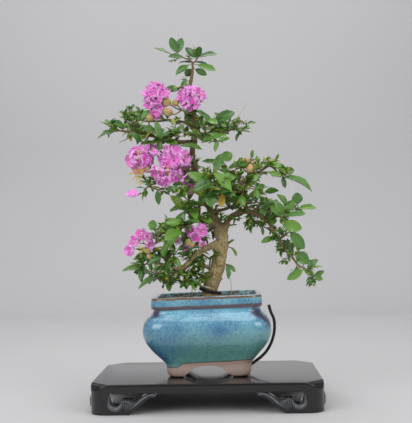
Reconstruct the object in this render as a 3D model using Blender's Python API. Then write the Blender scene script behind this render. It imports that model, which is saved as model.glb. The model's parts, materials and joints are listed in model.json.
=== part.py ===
"""A crepe myrtle bonsai in flower, in a glazed pot on a lacquered display stand.

The plan below is in millimetres and becomes metres where a mesh is made. X runs to the right
along the stand, Y to the back, Z up. The origin is on the floor, under the middle of the stand.
"""

import math
import random

import bmesh
import bpy
import numpy as np
from mathutils import Matrix, Vector, noise
from mathutils.bvhtree import BVHTree

MM = 0.001
SEAT = 0.3  # gap left between two pieces that touch

# Stand
STAND_WIDTH = 255.0
STAND_DEPTH = 160.0
STAND_HEIGHT = 33.0
BOARD_THICKNESS = 9.5
CORNER_CUT = 10.5  # across the corner of the legs
CORNER_CUT_TOP = 18.5  # across the corner of the board's upper face
PANEL_THICKNESS = 9.0
SIDE_PANEL_SCALE = 0.84  # the side panels are the front ones, shortened

# Pot, with heights above the stand
POT_HEIGHT = 90.5
FLOOR_TOP = 19.5
RIM_WARP = 1.5  # the right end of the rim stands this much high, the left as much low
DRAIN_X = 24.0
DRAIN_RADIUS = 8.0
DRAIN_SIDES = 12
ARCH_SHIFT = 1.0  # the front arch sits a little right of the middle
SIDE_ARCH_SCALE = 0.62  # width of the side arches over that of the front one
NET_SIDE = 22.0
NET_THICKNESS = 1.0
NET_HOLES = 2
NET_BAR = 1.6

# Soil
SOIL_EDGE = 85.0  # height of the soil at the wall, above the stand
SOIL_MOUND = 3.2
SOIL_GAP = 0.45  # to the wall, whose facets cut in between the rings

# Tie wire
WIRE_DIAMETER = 3.9
WIRE_STEP = 6.5
WIRE_SIDES = 5

# Tree
TRUNK_SIDES = 10
TRUNK_LOBES = 0.05
LIMB_SIDES = 5
TWIG_SIDES = 3
WOOD_STEP = 11.0
LEAF_WIDTH = 0.54  # of its length
LEAF_THICKNESS = 1.1
PETALS = 6
PETAL_THICKNESS = 1.2
FLOWER_RADIUS = 11.5
FLOWER_CUP = 0.85  # rise of a petal over its reach
FLOWER_ROOT = 0.72  # share of the way from a core's middle to its skin
CLEFT = 0.5  # how far out the petals part
LEAF_SEED = 11
ROOT_CLEAR = 0.8  # gap between the wood and the root of a twig, and between a core and its stalk
TWIG_CLEAR = 1.7  # from the wood to the middle of a side twig
TWIG_STEP = 7.0
LEAF_STEP = 0.5
SUNK_STEPS = 3  # the last pair stands this many leaf steps back from the tip
LEAF_GAP = 0.35  # leaves and flowers are tried this much larger all round
TREE_BOX = ((-132.0, 132.0), (-78.5, 78.5), (127.0, 427.0))  # leaves stay within it


def colour(code):
    """A hex sRGB colour as linear values."""
    values = [int(code[i : i + 2], 16) / 255 for i in (1, 3, 5)]
    return [v / 12.92 if v <= 0.04045 else ((v + 0.055) / 1.055) ** 2.4 for v in values] + [1.0]


def material(name, code, roughness, metallic=0.0):
    made = bpy.data.materials.new(name)
    made.use_nodes = True
    shader = made.node_tree.nodes["Principled BSDF"]
    shader.inputs["Base Color"].default_value = colour(code)
    shader.inputs["Roughness"].default_value = roughness
    shader.inputs["Metallic"].default_value = metallic
    made.diffuse_color = colour(code)
    return made


for old in list(bpy.data.objects):
    bpy.data.objects.remove(old, do_unlink=True)

LACQUER = material("black_lacquer", "#2f3033", 0.2)
GLAZE = material("blue_green_glaze", "#6a9fa8", 0.15)
GRIT = material("bonsai_soil", "#6f675c", 0.95)
NET_PLASTIC = material("net_plastic", "#26282a", 0.6)
WIRE_COAT = material("black_wire", "#1d1d1f", 0.5)
BARK = material("crepe_myrtle_bark", "#897a5c", 0.8)
LEAF = material("crepe_myrtle_leaf", "#4f7d39", 0.4)
PETAL = material("crepe_myrtle_petal", "#cc74bd", 0.6)


def solid(name, points, faces, finish):
    """A closed mesh object from points in millimetres, with its faces turned outwards."""
    mesh = bpy.data.meshes.new(name)
    mesh.from_pydata([Vector(p) * MM for p in points], [], faces)
    work = bmesh.new()
    work.from_mesh(mesh)
    bmesh.ops.recalc_face_normals(work, faces=work.faces)
    if work.calc_volume(signed=True) < 0:
        bmesh.ops.reverse_faces(work, faces=work.faces)
    work.to_mesh(mesh)
    work.free()
    mesh.materials.append(finish)
    made = bpy.data.objects.new(name, mesh)
    bpy.context.scene.collection.objects.link(made)
    return made


def boolean(host, others, operation):
    """One Boolean of the host with all the others, applied. The others are removed."""
    group = bpy.data.collections.new("operands")
    bpy.context.scene.collection.children.link(group)
    for other in others:
        for holder in list(other.users_collection):
            holder.objects.unlink(other)
        group.objects.link(other)
        other.hide_render = operation == "DIFFERENCE"
        other.display_type = "WIRE" if operation == "DIFFERENCE" else "TEXTURED"
    step = host.modifiers.new(operation.lower(), "BOOLEAN")
    step.operation = operation
    step.solver = "EXACT"
    step.operand_type = "COLLECTION"
    step.collection = group
    bpy.context.view_layer.update()
    graph = bpy.context.evaluated_depsgraph_get()
    result = bpy.data.meshes.new_from_object(host.evaluated_get(graph))
    host.modifiers.remove(step)
    host.data = result
    for other in others:
        bpy.data.objects.remove(other, do_unlink=True)
    bpy.data.collections.remove(group)
    return host


def tree_of(made):
    """A search tree of an object's surface, in millimetres."""
    points = [v.co / MM for v in made.data.vertices]
    return BVHTree.FromPolygons(points, [tuple(p.vertices) for p in made.data.polygons])


def smooth_route(points, step):
    """Points about a step apart on the Catmull-Rom curve through the given points."""
    points = [Vector(p) for p in points]
    ends = [2 * points[0] - points[1]] + points + [2 * points[-1] - points[-2]]
    route = []
    for a, b, c, d in zip(ends, ends[1:], ends[2:], ends[3:]):
        count = max(1, round((c - b).length / step))
        for i in range(count):
            t = i / count
            route.append(
                0.5
                * (2 * b + (c - a) * t + (2 * a - 5 * b + 4 * c - d) * t**2 + (3 * b - a - 3 * c + d) * t**3)
            )
    return route + [points[-1]]


def directions(route):
    turned = []
    for i in range(len(route)):
        before = route[max(0, i - 1)]
        after = route[min(len(route) - 1, i + 1)]
        turned.append((after - before).normalized())
    return turned


def tube(route, radii, sides, lobes=0.0):
    """Points and faces of a closed tube, carried along its route without twist."""
    ways = directions(route)
    across = ways[0].orthogonal().normalized()
    points = []
    for i, (centre, way, radius) in enumerate(zip(route, ways, radii)):
        across = (across - way * across.dot(way)).normalized()
        beside = way.cross(across)
        for k in range(sides):
            angle = math.tau * k / sides
            wide = radius * (1 + lobes * math.sin(3 * angle + 0.35 * i) + lobes * 0.5 * math.sin(5 * angle))
            points.append(centre + (across * math.cos(angle) + beside * math.sin(angle)) * wide)
    faces = []
    for i in range(len(route) - 1):
        for k in range(sides):
            a = i * sides + k
            b = i * sides + (k + 1) % sides
            faces.append((a, b, b + sides, a + sides))
    faces.append(tuple(range(sides)))
    faces.append(tuple(range((len(route) - 1) * sides, len(route) * sides)))
    return points, faces


def taper(route, radii):
    """Radii read along the route from a few evenly spaced ones."""
    places = np.linspace(0, 1, len(radii))
    return list(np.interp(np.linspace(0, 1, len(route)), places, radii))


def loft(rings):
    """Faces and points of a closed skin over rings with the same number of points."""
    count = len(rings[0])
    points = [p for ring in rings for p in ring]
    faces = []
    for i in range(len(rings) - 1):
        for k in range(count):
            a = i * count + k
            b = i * count + (k + 1) % count
            faces.append((a, b, b + count, a + count))
    faces.append(tuple(range(count)))
    faces.append(tuple(range((len(rings) - 1) * count, len(rings) * count)))
    return points, faces


def prism(outline, low, high, axis):
    """An outline of two coordinates extruded along Y or X."""
    if axis == "Y":
        rings = [[(a, end, b) for a, b in outline] for end in (low, high)]
    else:
        rings = [[(end, a, b) for a, b in outline] for end in (low, high)]
    return loft(rings)


# The stand: a board with cut corners on four legs that are carved as scrolls


def corner_cut_ring(half_x, half_y, cut, z):
    corners = []
    for sx, sy in ((1, 1), (-1, 1), (-1, -1), (1, -1)):
        ends = [(sx * half_x, sy * (half_y - cut), z), (sx * (half_x - cut), sy * half_y, z)]
        corners += ends if sx * sy > 0 else ends[::-1]
    return corners


def make_stand_top():
    """The board, whose cut corners grow wider towards the upper face in an arc."""
    low = STAND_HEIGHT - BOARD_THICKNESS
    rings = []
    steps = 5
    for i in range(steps + 1):
        rise = i / steps
        grown = 1 - math.sqrt(1 - rise**2)
        cut = CORNER_CUT + (CORNER_CUT_TOP - CORNER_CUT) * grown
        ease = 0.8 * max(0.0, rise - 0.8) / 0.2  # the upper edge is eased
        rings.append(
            corner_cut_ring(
                STAND_WIDTH / 2 - ease, STAND_DEPTH / 2 - ease, cut, low + BOARD_THICKNESS * rise
            )
        )
    return solid("stand_top", *loft(rings), LACQUER)


# Outline of a leg panel with its scroll, measured inwards from the outer edge and up
SCROLL = (
    (3, 0), (43, 0), (49, 4.5), (56, 9.6), (61, 14.4), (66, 17.6), (70, 18.6), (73, 20), (73, 22),
    (70, 23), (63.5, 23), (57.5, 20.3), (51, 15), (48, 15.6), (44, 17), (38, 17.2), (35.8, 16.6),
    (34.7, 13.8), (32.5, 11.6), (29.7, 10.8), (26.8, 12), (25, 15), (23, 20), (22.5, 23), (0, 23),
    (0, 3),
)  # fmt: skip


def make_leg(name, side_x, side_y):
    """A leg in one corner: a front panel and a side panel that meet behind the cut corner."""
    front = [(side_x * (STAND_WIDTH / 2 - u), v) for u, v in SCROLL]
    y_out = side_y * STAND_DEPTH / 2
    panel = solid(name, *prism(front, y_out, y_out - side_y * PANEL_THICKNESS, "Y"), LACQUER)
    side = [(side_y * (STAND_DEPTH / 2 - u * SIDE_PANEL_SCALE), v) for u, v in SCROLL]
    x_out = side_x * STAND_WIDTH / 2
    other = solid("side", *prism(side, x_out, x_out - side_x * PANEL_THICKNESS, "X"), LACQUER)
    block = 20.0
    x_in = x_out - side_x * block
    y_in = y_out - side_y * block
    inner = [(x_out, 1), (x_in, 1), (x_in, 22), (x_out, 22)]
    post = solid("post", *prism(inner, y_out, y_in, "Y"), LACQUER)
    boolean(panel, [other, post], "UNION")
    reach = 40.0
    cut = [(side_x * STAND_WIDTH / 2, side_y * (STAND_DEPTH / 2 - CORNER_CUT))]
    cut.append((side_x * (STAND_WIDTH / 2 - CORNER_CUT), side_y * STAND_DEPTH / 2))
    out = Vector((side_x, side_y, 0)).normalized() * reach
    rings = []
    for z in (-5.0, STAND_HEIGHT):
        a, b = (Vector((x, y, z)) for x, y in cut)
        along = (b - a).normalized() * reach
        rings.append([a - along, b + along, b + along + out, a - along + out])
    return boolean(panel, [solid("cut", *loft(rings), LACQUER)], "DIFFERENCE")


# The pot: a rounded oblong that swells to a belly and stands on four feet

CORNER_STEPS = 3
SIDE_STEPS = 3


def rounded_ring(half_x, half_y, radius, z, bulge=0.0, lean=0.0):
    """A rounded oblong whose long sides swell outwards by the bulge."""
    ring = []
    for quarter, (sx, sy) in enumerate(((1, 1), (-1, 1), (-1, -1), (1, -1))):
        centre = (sx * (half_x - radius), sy * (half_y - radius))
        for i in range(CORNER_STEPS + 1):
            angle = math.pi / 2 * (quarter + i / CORNER_STEPS)
            ring.append((centre[0] + radius * math.cos(angle), centre[1] + radius * math.sin(angle)))
        end = ring[-1]
        nx, ny = ((-1, 1), (-1, -1), (1, -1), (1, 1))[quarter]
        following = (nx * (half_x - radius), ny * (half_y - radius))
        turn = math.pi / 2 * (quarter + 1)
        start = (following[0] + radius * math.cos(turn), following[1] + radius * math.sin(turn))
        for i in range(1, SIDE_STEPS):
            t = i / SIDE_STEPS
            ring.append((end[0] + (start[0] - end[0]) * t, end[1] + (start[1] - end[1]) * t))
    swollen = []
    for x, y in ring:
        along = math.cos(math.pi / 2 * min(1, abs(x) / half_x))
        beside = math.cos(math.pi / 2 * min(1, abs(y) / half_y))
        grow_y = math.copysign(bulge * along, y) if abs(y) > half_y - radius else 0
        grow_x = math.copysign(bulge * beside, x) if abs(x) > half_x - radius else 0
        swollen.append((x + grow_x, y + grow_y, z + lean * x / half_x))
    return swollen


# Height above the stand, half width, half depth, corner radius, bulge of the sides
POT_OUTSIDE = (
    (0.0, 43.5, 38.0, 11, 0.0), (1.8, 46.4, 40.4, 12.5, 0.0), (6.0, 48.0, 41.4, 13, 0.0),
    (12.0, 48.2, 41.6, 13, 0.0), (15.5, 49.6, 42.0, 13.5, 0.2), (19.5, 53.0, 43.2, 14, 0.4),
    (25.0, 58.2, 45.4, 15.5, 0.6), (32.0, 64.4, 49.0, 18, 0.8), (40.0, 69.9, 52.4, 20.5, 1.0),
    (49.0, 72.4, 54.6, 22, 1.0), (56.0, 72.0, 54.6, 22, 1.0), (62.0, 70.4, 53.2, 22, 1.0),
    (67.5, 66.2, 48.7, 20, 0.8), (71.5, 62.2, 44.7, 17, 0.6), (74.5, 60.8, 43.3, 15, 0.5),
    (77.0, 61.0, 43.5, 14, 0.5), (78.2, 63.0, 45.5, 14, 0.5), (88.3, 62.7, 45.2, 14, 0.5),
    (90.5, 61.0, 43.5, 13, 0.5),
)  # fmt: skip
POT_INSIDE = (
    (90.5, 57.6, 40.1, 11, 0.5), (88.5, 56.4, 38.9, 10, 0.5), (76.0, 55.0, 37.5, 10, 0.5),
    (66.0, 60.0, 42.5, 15, 0.8), (56.0, 66.2, 48.7, 17, 1.0), (38.0, 64.6, 46.6, 15, 0.8),
    (FLOOR_TOP, 49.0, 37.5, 11, 0.0),
)  # fmt: skip


# The feet stand a little to the right of the belly's middle
FOOT_SHIFT = 1.7
FOOT_SHIFT_ENDS = 25.0
FOOT_SHIFT_OVER = 13.0


def pot_rings(profile, grow=0.0):
    rings = []
    for z, half_width, half_depth, radius, bulge in profile:
        lean = RIM_WARP * max(0.0, z / POT_HEIGHT) ** 2 if z > FLOOR_TOP else 0.0
        aside = FOOT_SHIFT * min(1.0, max(0.0, (FOOT_SHIFT_ENDS - z) / FOOT_SHIFT_OVER))
        place = STAND_HEIGHT + SEAT + z
        ring = rounded_ring(half_width + grow, half_depth + grow, radius + grow, place, bulge, lean)
        rings.append([(x + aside, y, height) for x, y, height in ring])
    return rings


# The arch between two feet, as half its outline: distance from the middle and height
ARCH = ((29, -2), (26.5, 1.8), (21, 5.8), (16.8, 8.8), (12.5, 11.3), (7, 12.7))


def arch_outline(scale, centre):
    base = STAND_HEIGHT + SEAT
    half = [(u * scale, v + base) for u, v in ARCH]
    outline = [(centre + u, v) for u, v in half] + [(centre - u, v) for u, v in reversed(half)]
    return outline


def disc(centre, radius, z_low, z_high, sides):
    rings = []
    for z in (z_low, z_high):
        ring = []
        for k in range(sides):
            angle = math.tau * (k + 0.5) / sides
            ring.append((centre[0] + radius * math.cos(angle), centre[1] + radius * math.sin(angle), z))
        rings.append(ring)
    return loft(rings)


def make_pot():
    skin = pot_rings(POT_OUTSIDE) + pot_rings(POT_INSIDE)
    pot = solid("pot", *loft(skin), GLAZE)
    past = POT_HEIGHT  # the cutters reach well past the pot on both sides
    cuts = [
        solid("front_arch", *prism(arch_outline(1.0, ARCH_SHIFT), -past, past, "Y"), GLAZE),
        solid("side_arch", *prism(arch_outline(SIDE_ARCH_SCALE, 0.0), -past, past, "X"), GLAZE),
    ]
    boolean(pot, cuts, "DIFFERENCE")
    base = STAND_HEIGHT + SEAT
    holes = []
    for side in (-1, 1):
        shape = disc((side * DRAIN_X, 0), DRAIN_RADIUS, base + 5, base + FLOOR_TOP + 5, DRAIN_SIDES)
        holes.append(solid("drain_hole", *shape, GLAZE))
    return boolean(pot, holes, "DIFFERENCE")


def make_net(name, side, cutters):
    """A square of coarse plastic mesh that keeps the soil over a drain hole."""
    low = STAND_HEIGHT + SEAT + FLOOR_TOP + SEAT
    centre = side * DRAIN_X
    half = NET_SIDE / 2
    plate = [(centre - half, low), (centre + half, low)]
    plate += [(x, low + NET_THICKNESS) for x, _ in reversed(plate)]
    net = solid(name, *prism(plate, -half, half, "Y"), NET_PLASTIC)
    pitch = (NET_SIDE - NET_BAR) / NET_HOLES
    holes = []
    for i in range(NET_HOLES):
        for j in range(NET_HOLES):
            x = centre - half + NET_BAR + pitch * i
            y = -half + NET_BAR + pitch * j
            size = pitch - NET_BAR
            box = [(x, low - size), (x + size, low - size), (x + size, low + size), (x, low + size)]
            holes.append(solid("mesh_hole", *prism(box, y, y + size, "Y"), NET_PLASTIC))
    return boolean(net, holes + cutters, "DIFFERENCE")


# The tie wire: once round the foot of the trunk, down through the soil and the right drain hole,
# out under the pot and up beside it, where its end stands free
WIRE_ROUTE = (
    (9, 15.5, 113), (7.5, 14.8, 123), (2, 13.2, 130), (-5.3, 8, 131), (-7.6, 0.5, 130.3),
    (-4, -6.8, 128.8), (3.5, -9.6, 127.4), (11, -7.4, 126), (15.6, -2, 124), (17.4, 3, 118),
    (18.2, 4.5, 108), (20.5, 3.5, 92), (23, 1.5, 72), (24, 0, 60), (24, 0, 51), (27, 0.5, 43.6),
    (34, 2.5, 38.6), (43, 5, 37.9), (50.7, 6, 40.6), (55.4, 6, 43.8), (60.2, 6, 47.2), (64.6, 6, 51),
    (69, 6, 55.8), (73, 6, 62.3), (75.8, 6, 69), (78, 6, 77.5), (78.6, 6, 86.4), (77.5, 5.5, 93.9),
    (74.4, 4, 101.3), (72.2, 4, 109.4),
)  # fmt: skip


def wire_shape(grow):
    route = smooth_route(WIRE_ROUTE, WIRE_STEP)
    return tube(route, [WIRE_DIAMETER / 2 + grow] * len(route), WIRE_SIDES)


# The wood: the trunk and its limbs, each with a route and radii from its root to its end
TRUNK = ((3, 2, 98), (3, 2, 110), (3, 2, 120), (4.5, 2, 132), (11, 2, 149), (16, 2, 169), (19, 2, 187),
         (16, 2, 197), (10, 2, 208), (6, 3, 220), (3, 4, 234), (-4, 4, 251), (-11, 2, 267),
         (-14, 0, 281), (-14, 0, 296), (-11, 2, 315), (-12, 3, 331), (-14, 2, 349), (-16, 0, 367),
         (-14, -1, 378), (-12, -2, 391))  # fmt: skip
TRUNK_RADII = (10.0, 9.6, 8.8, 8.6, 8.2, 8.2, 6.0, 4.6, 4.0, 3.7, 3.5, 3.3, 3.1, 3.0, 2.7, 2.4, 2.1, 1.7)
LIMBS = {
    "left_low": (((15, 0, 183), (1, -6, 178), (-11, -10, 170), (-21, -14, 161), (-30, -16, 155),
                  (-44, -20, 158), (-58, -22, 162), (-69, -22, 161)), (4.2, 3.2, 2.2, 1.4)),
    "left_low_inner": (((-17, -12, 164), (-29, -8, 150), (-42, -2, 146), (-55, 2, 146)), (2.0, 1.3)),
    "left_low_mid": (((11, -2, 206), (-3, -14, 210), (-17, -24, 208), (-32, -30, 199),
                      (-47, -32, 190), (-60, -32, 183)), (3.0, 2.2, 1.3)),
    "cascade": (((19, 3, 190), (26, 4, 209), (36, 2, 217), (49, 0, 220), (61, -3, 216), (73, -6, 207),
                 (82, -8, 191), (91, -8, 177), (99, -6, 167), (106, -5, 157), (114, -4, 152)),
                (5.2, 3.9, 3.2, 2.6, 2.0, 1.4, 1.1)),
    "mid_right": (((-3, 3, 247), (12, -8, 244), (27, -14, 247), (41, -16, 251), (54, -14, 258),
                   (65, -12, 266), (76, -12, 272), (86, -12, 263)), (2.8, 2.2, 1.8, 1.2)),
    "mid_back": (((6, 4, 219), (22, 12, 223), (38, 18, 228), (55, 20, 230)), (2.2, 1.6, 1.2)),
    "tier_left": (((-12, -1, 303), (-27, -10, 302), (-44, -16, 305), (-61, -18, 309), (-76, -18, 313),
                   (-91, -16, 315), (-99, -15, 316)), (2.6, 2.1, 1.7, 1.1)),
    "tier_left_back": (((-11, 3, 322), (-25, 10, 328), (-41, 14, 331), (-58, 14, 330), (-73, 12, 330)),
                       (1.9, 1.4, 1.0)),
    "tier_right": (((-11, 1, 313), (3, -6, 312), (19, -8, 315), (33, -6, 320), (46, -4, 326)),
                   (2.0, 1.5, 0.9)),
    "face_left": (((-14, 0, 281), (-20, -14, 269), (-33, -22, 259), (-48, -26, 255), (-60, -26, 252)),
                  (2.2, 1.6, 1.1)),
}  # fmt: skip


def make_wood():
    route = smooth_route(TRUNK, WOOD_STEP)
    trunk = solid("trunk", *tube(route, taper(route, TRUNK_RADII), TRUNK_SIDES, lobes=TRUNK_LOBES), BARK)
    limbs = []
    for name, (points, radii) in LIMBS.items():
        line = smooth_route(points, WOOD_STEP)
        limbs.append(solid(name, *tube(line, taper(line, radii), LIMB_SIDES), BARK))
    return boolean(trunk, limbs, "UNION")


# The soil: coarse grit, mounded to the trunk


def make_soil():
    inside = [row for row in POT_INSIDE if row[0] < SOIL_EDGE][::-1]
    rings = pot_rings(inside, grow=-SOIL_GAP)
    low = STAND_HEIGHT + SEAT + FLOOR_TOP + SEAT
    rings[0] = [(x, y, low) for x, y, _ in rings[0]]
    edge = pot_rings([(SOIL_EDGE, 56.1, 38.6, 10, 0.5)], grow=-SOIL_GAP)[0]
    rings.append(edge)
    level = STAND_HEIGHT + SEAT + SOIL_EDGE
    for share in (0.88, 0.68, 0.46, 0.26):
        ring = []
        for x, y, z in edge:
            place = Vector((x * share, y * share, 0))
            bump = noise.noise(place * 0.21) * 1.6 + noise.noise(place * 0.55) * 1.0
            rise = SOIL_MOUND * (1 - share) ** 1.3
            ring.append((place.x, place.y, z * share + level * (1 - share) + rise + bump))
        rings.append(ring)
    soil = solid("soil", *loft(rings), GRIT)
    root = smooth_route(TRUNK[:4], WOOD_STEP)
    root[0] = root[0] - Vector((0, 0, 2 * SEAT))
    widths = [TRUNK_RADII[0] * (1 + TRUNK_LOBES) + 2 * SEAT] * len(root)
    cutters = [
        solid("trunk_hole", *tube(root, widths, TRUNK_SIDES), GRIT),
        solid("wire_hole", *wire_shape(SEAT), GRIT),
    ]
    for side in (-1, 1):
        half = NET_SIDE / 2 + SEAT
        x = side * DRAIN_X
        box = [(x - half, low - 1), (x + half, low - 1)]
        box += [(u, low + NET_THICKNESS + SEAT) for u, _ in reversed(box)]
        cutters.append(solid("net_hole", *prism(box, -half, half, "Y"), GRIT))
    return boolean(soil, cutters, "DIFFERENCE")


# Leaves and petals


def blade(length, width, stations, ribs, fold, arch, thickness, wave=0.0):
    """A lens-shaped blade along +Y, its upper side to +Z, and both sides split alike.

    A station is a share of the length with the half width there as a share of half the width.
    The ribs are the shares of the length at which the blade has its full thickness.
    """

    def place(u, f, lift=0.0):
        x = u * width / 2
        ripple = wave * length * math.sin(7.0 * f + (2.4 if u > 0 else 0.0)) * abs(u)
        return (x, f * length, fold * abs(x) - arch * length * f * f + ripple + lift)

    left = [(-w, f) for f, w in stations]
    right = [(w, f) for f, w in reversed(stations)]
    rim = [place(u, f) for u, f in [(0, 0), *left, (0, 1), *right]]
    tip = len(stations) + 1
    points = list(rim)
    faces = []
    for lift in (thickness / 2, -thickness / 2):
        start = len(points)
        points += [place(0, f, lift) for f in ribs]
        if len(ribs) == 1:
            faces += [(start, i, (i + 1) % len(rim)) for i in range(len(rim))]
            continue
        middle = [0] + [start + i for i in range(len(ribs))] + [tip]
        for edge in (list(range(tip + 1)), [0] + list(range(len(rim) - 1, tip - 1, -1))):
            for i in range(tip):
                near = (middle[i], middle[i + 1], edge[i + 1])
                far = (middle[i], edge[i + 1], edge[i])
                faces += [corners for corners in (near, far) if len(set(corners)) == 3]
    return points, faces


# Stations and ribs of a blade, by the length from which on it has them
LEAF_FORMS = (
    (23.0, ((0.2, 0.62), (0.5, 1.0), (0.8, 0.72)), (0.2, 0.5, 0.8)),
    (18.5, ((0.3, 0.88), (0.7, 0.9)), (0.3, 0.7)),
    (0.0, ((0.3, 0.88), (0.7, 0.9)), (0.5,)),
)
FACING = {"up": Vector((0, -0.25, 1)), "front": Vector((0, -1, 0.55)), "back": Vector((0, 1, 0.55))}


def set_at(shape, root, way, facing):
    """A blade's points moved to its root, with its length along the way and its face turned."""
    points, faces = shape
    forward = way.normalized()
    upward = facing - forward * facing.dot(forward)
    if upward.length < 0.05:
        upward = forward.orthogonal()
    upward.normalize()
    turn = Matrix((forward.cross(upward), forward, upward)).transposed()
    return [root + turn @ Vector(p) for p in points], faces


def leaf_shape(length, fold, arch, grow=0.0):
    _, stations, ribs = next(form for form in LEAF_FORMS if length >= form[0])
    wide = length * LEAF_WIDTH + 2 * grow
    return blade(length + grow, wide, stations, ribs, fold, arch, LEAF_THICKNESS + 2 * grow)


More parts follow.
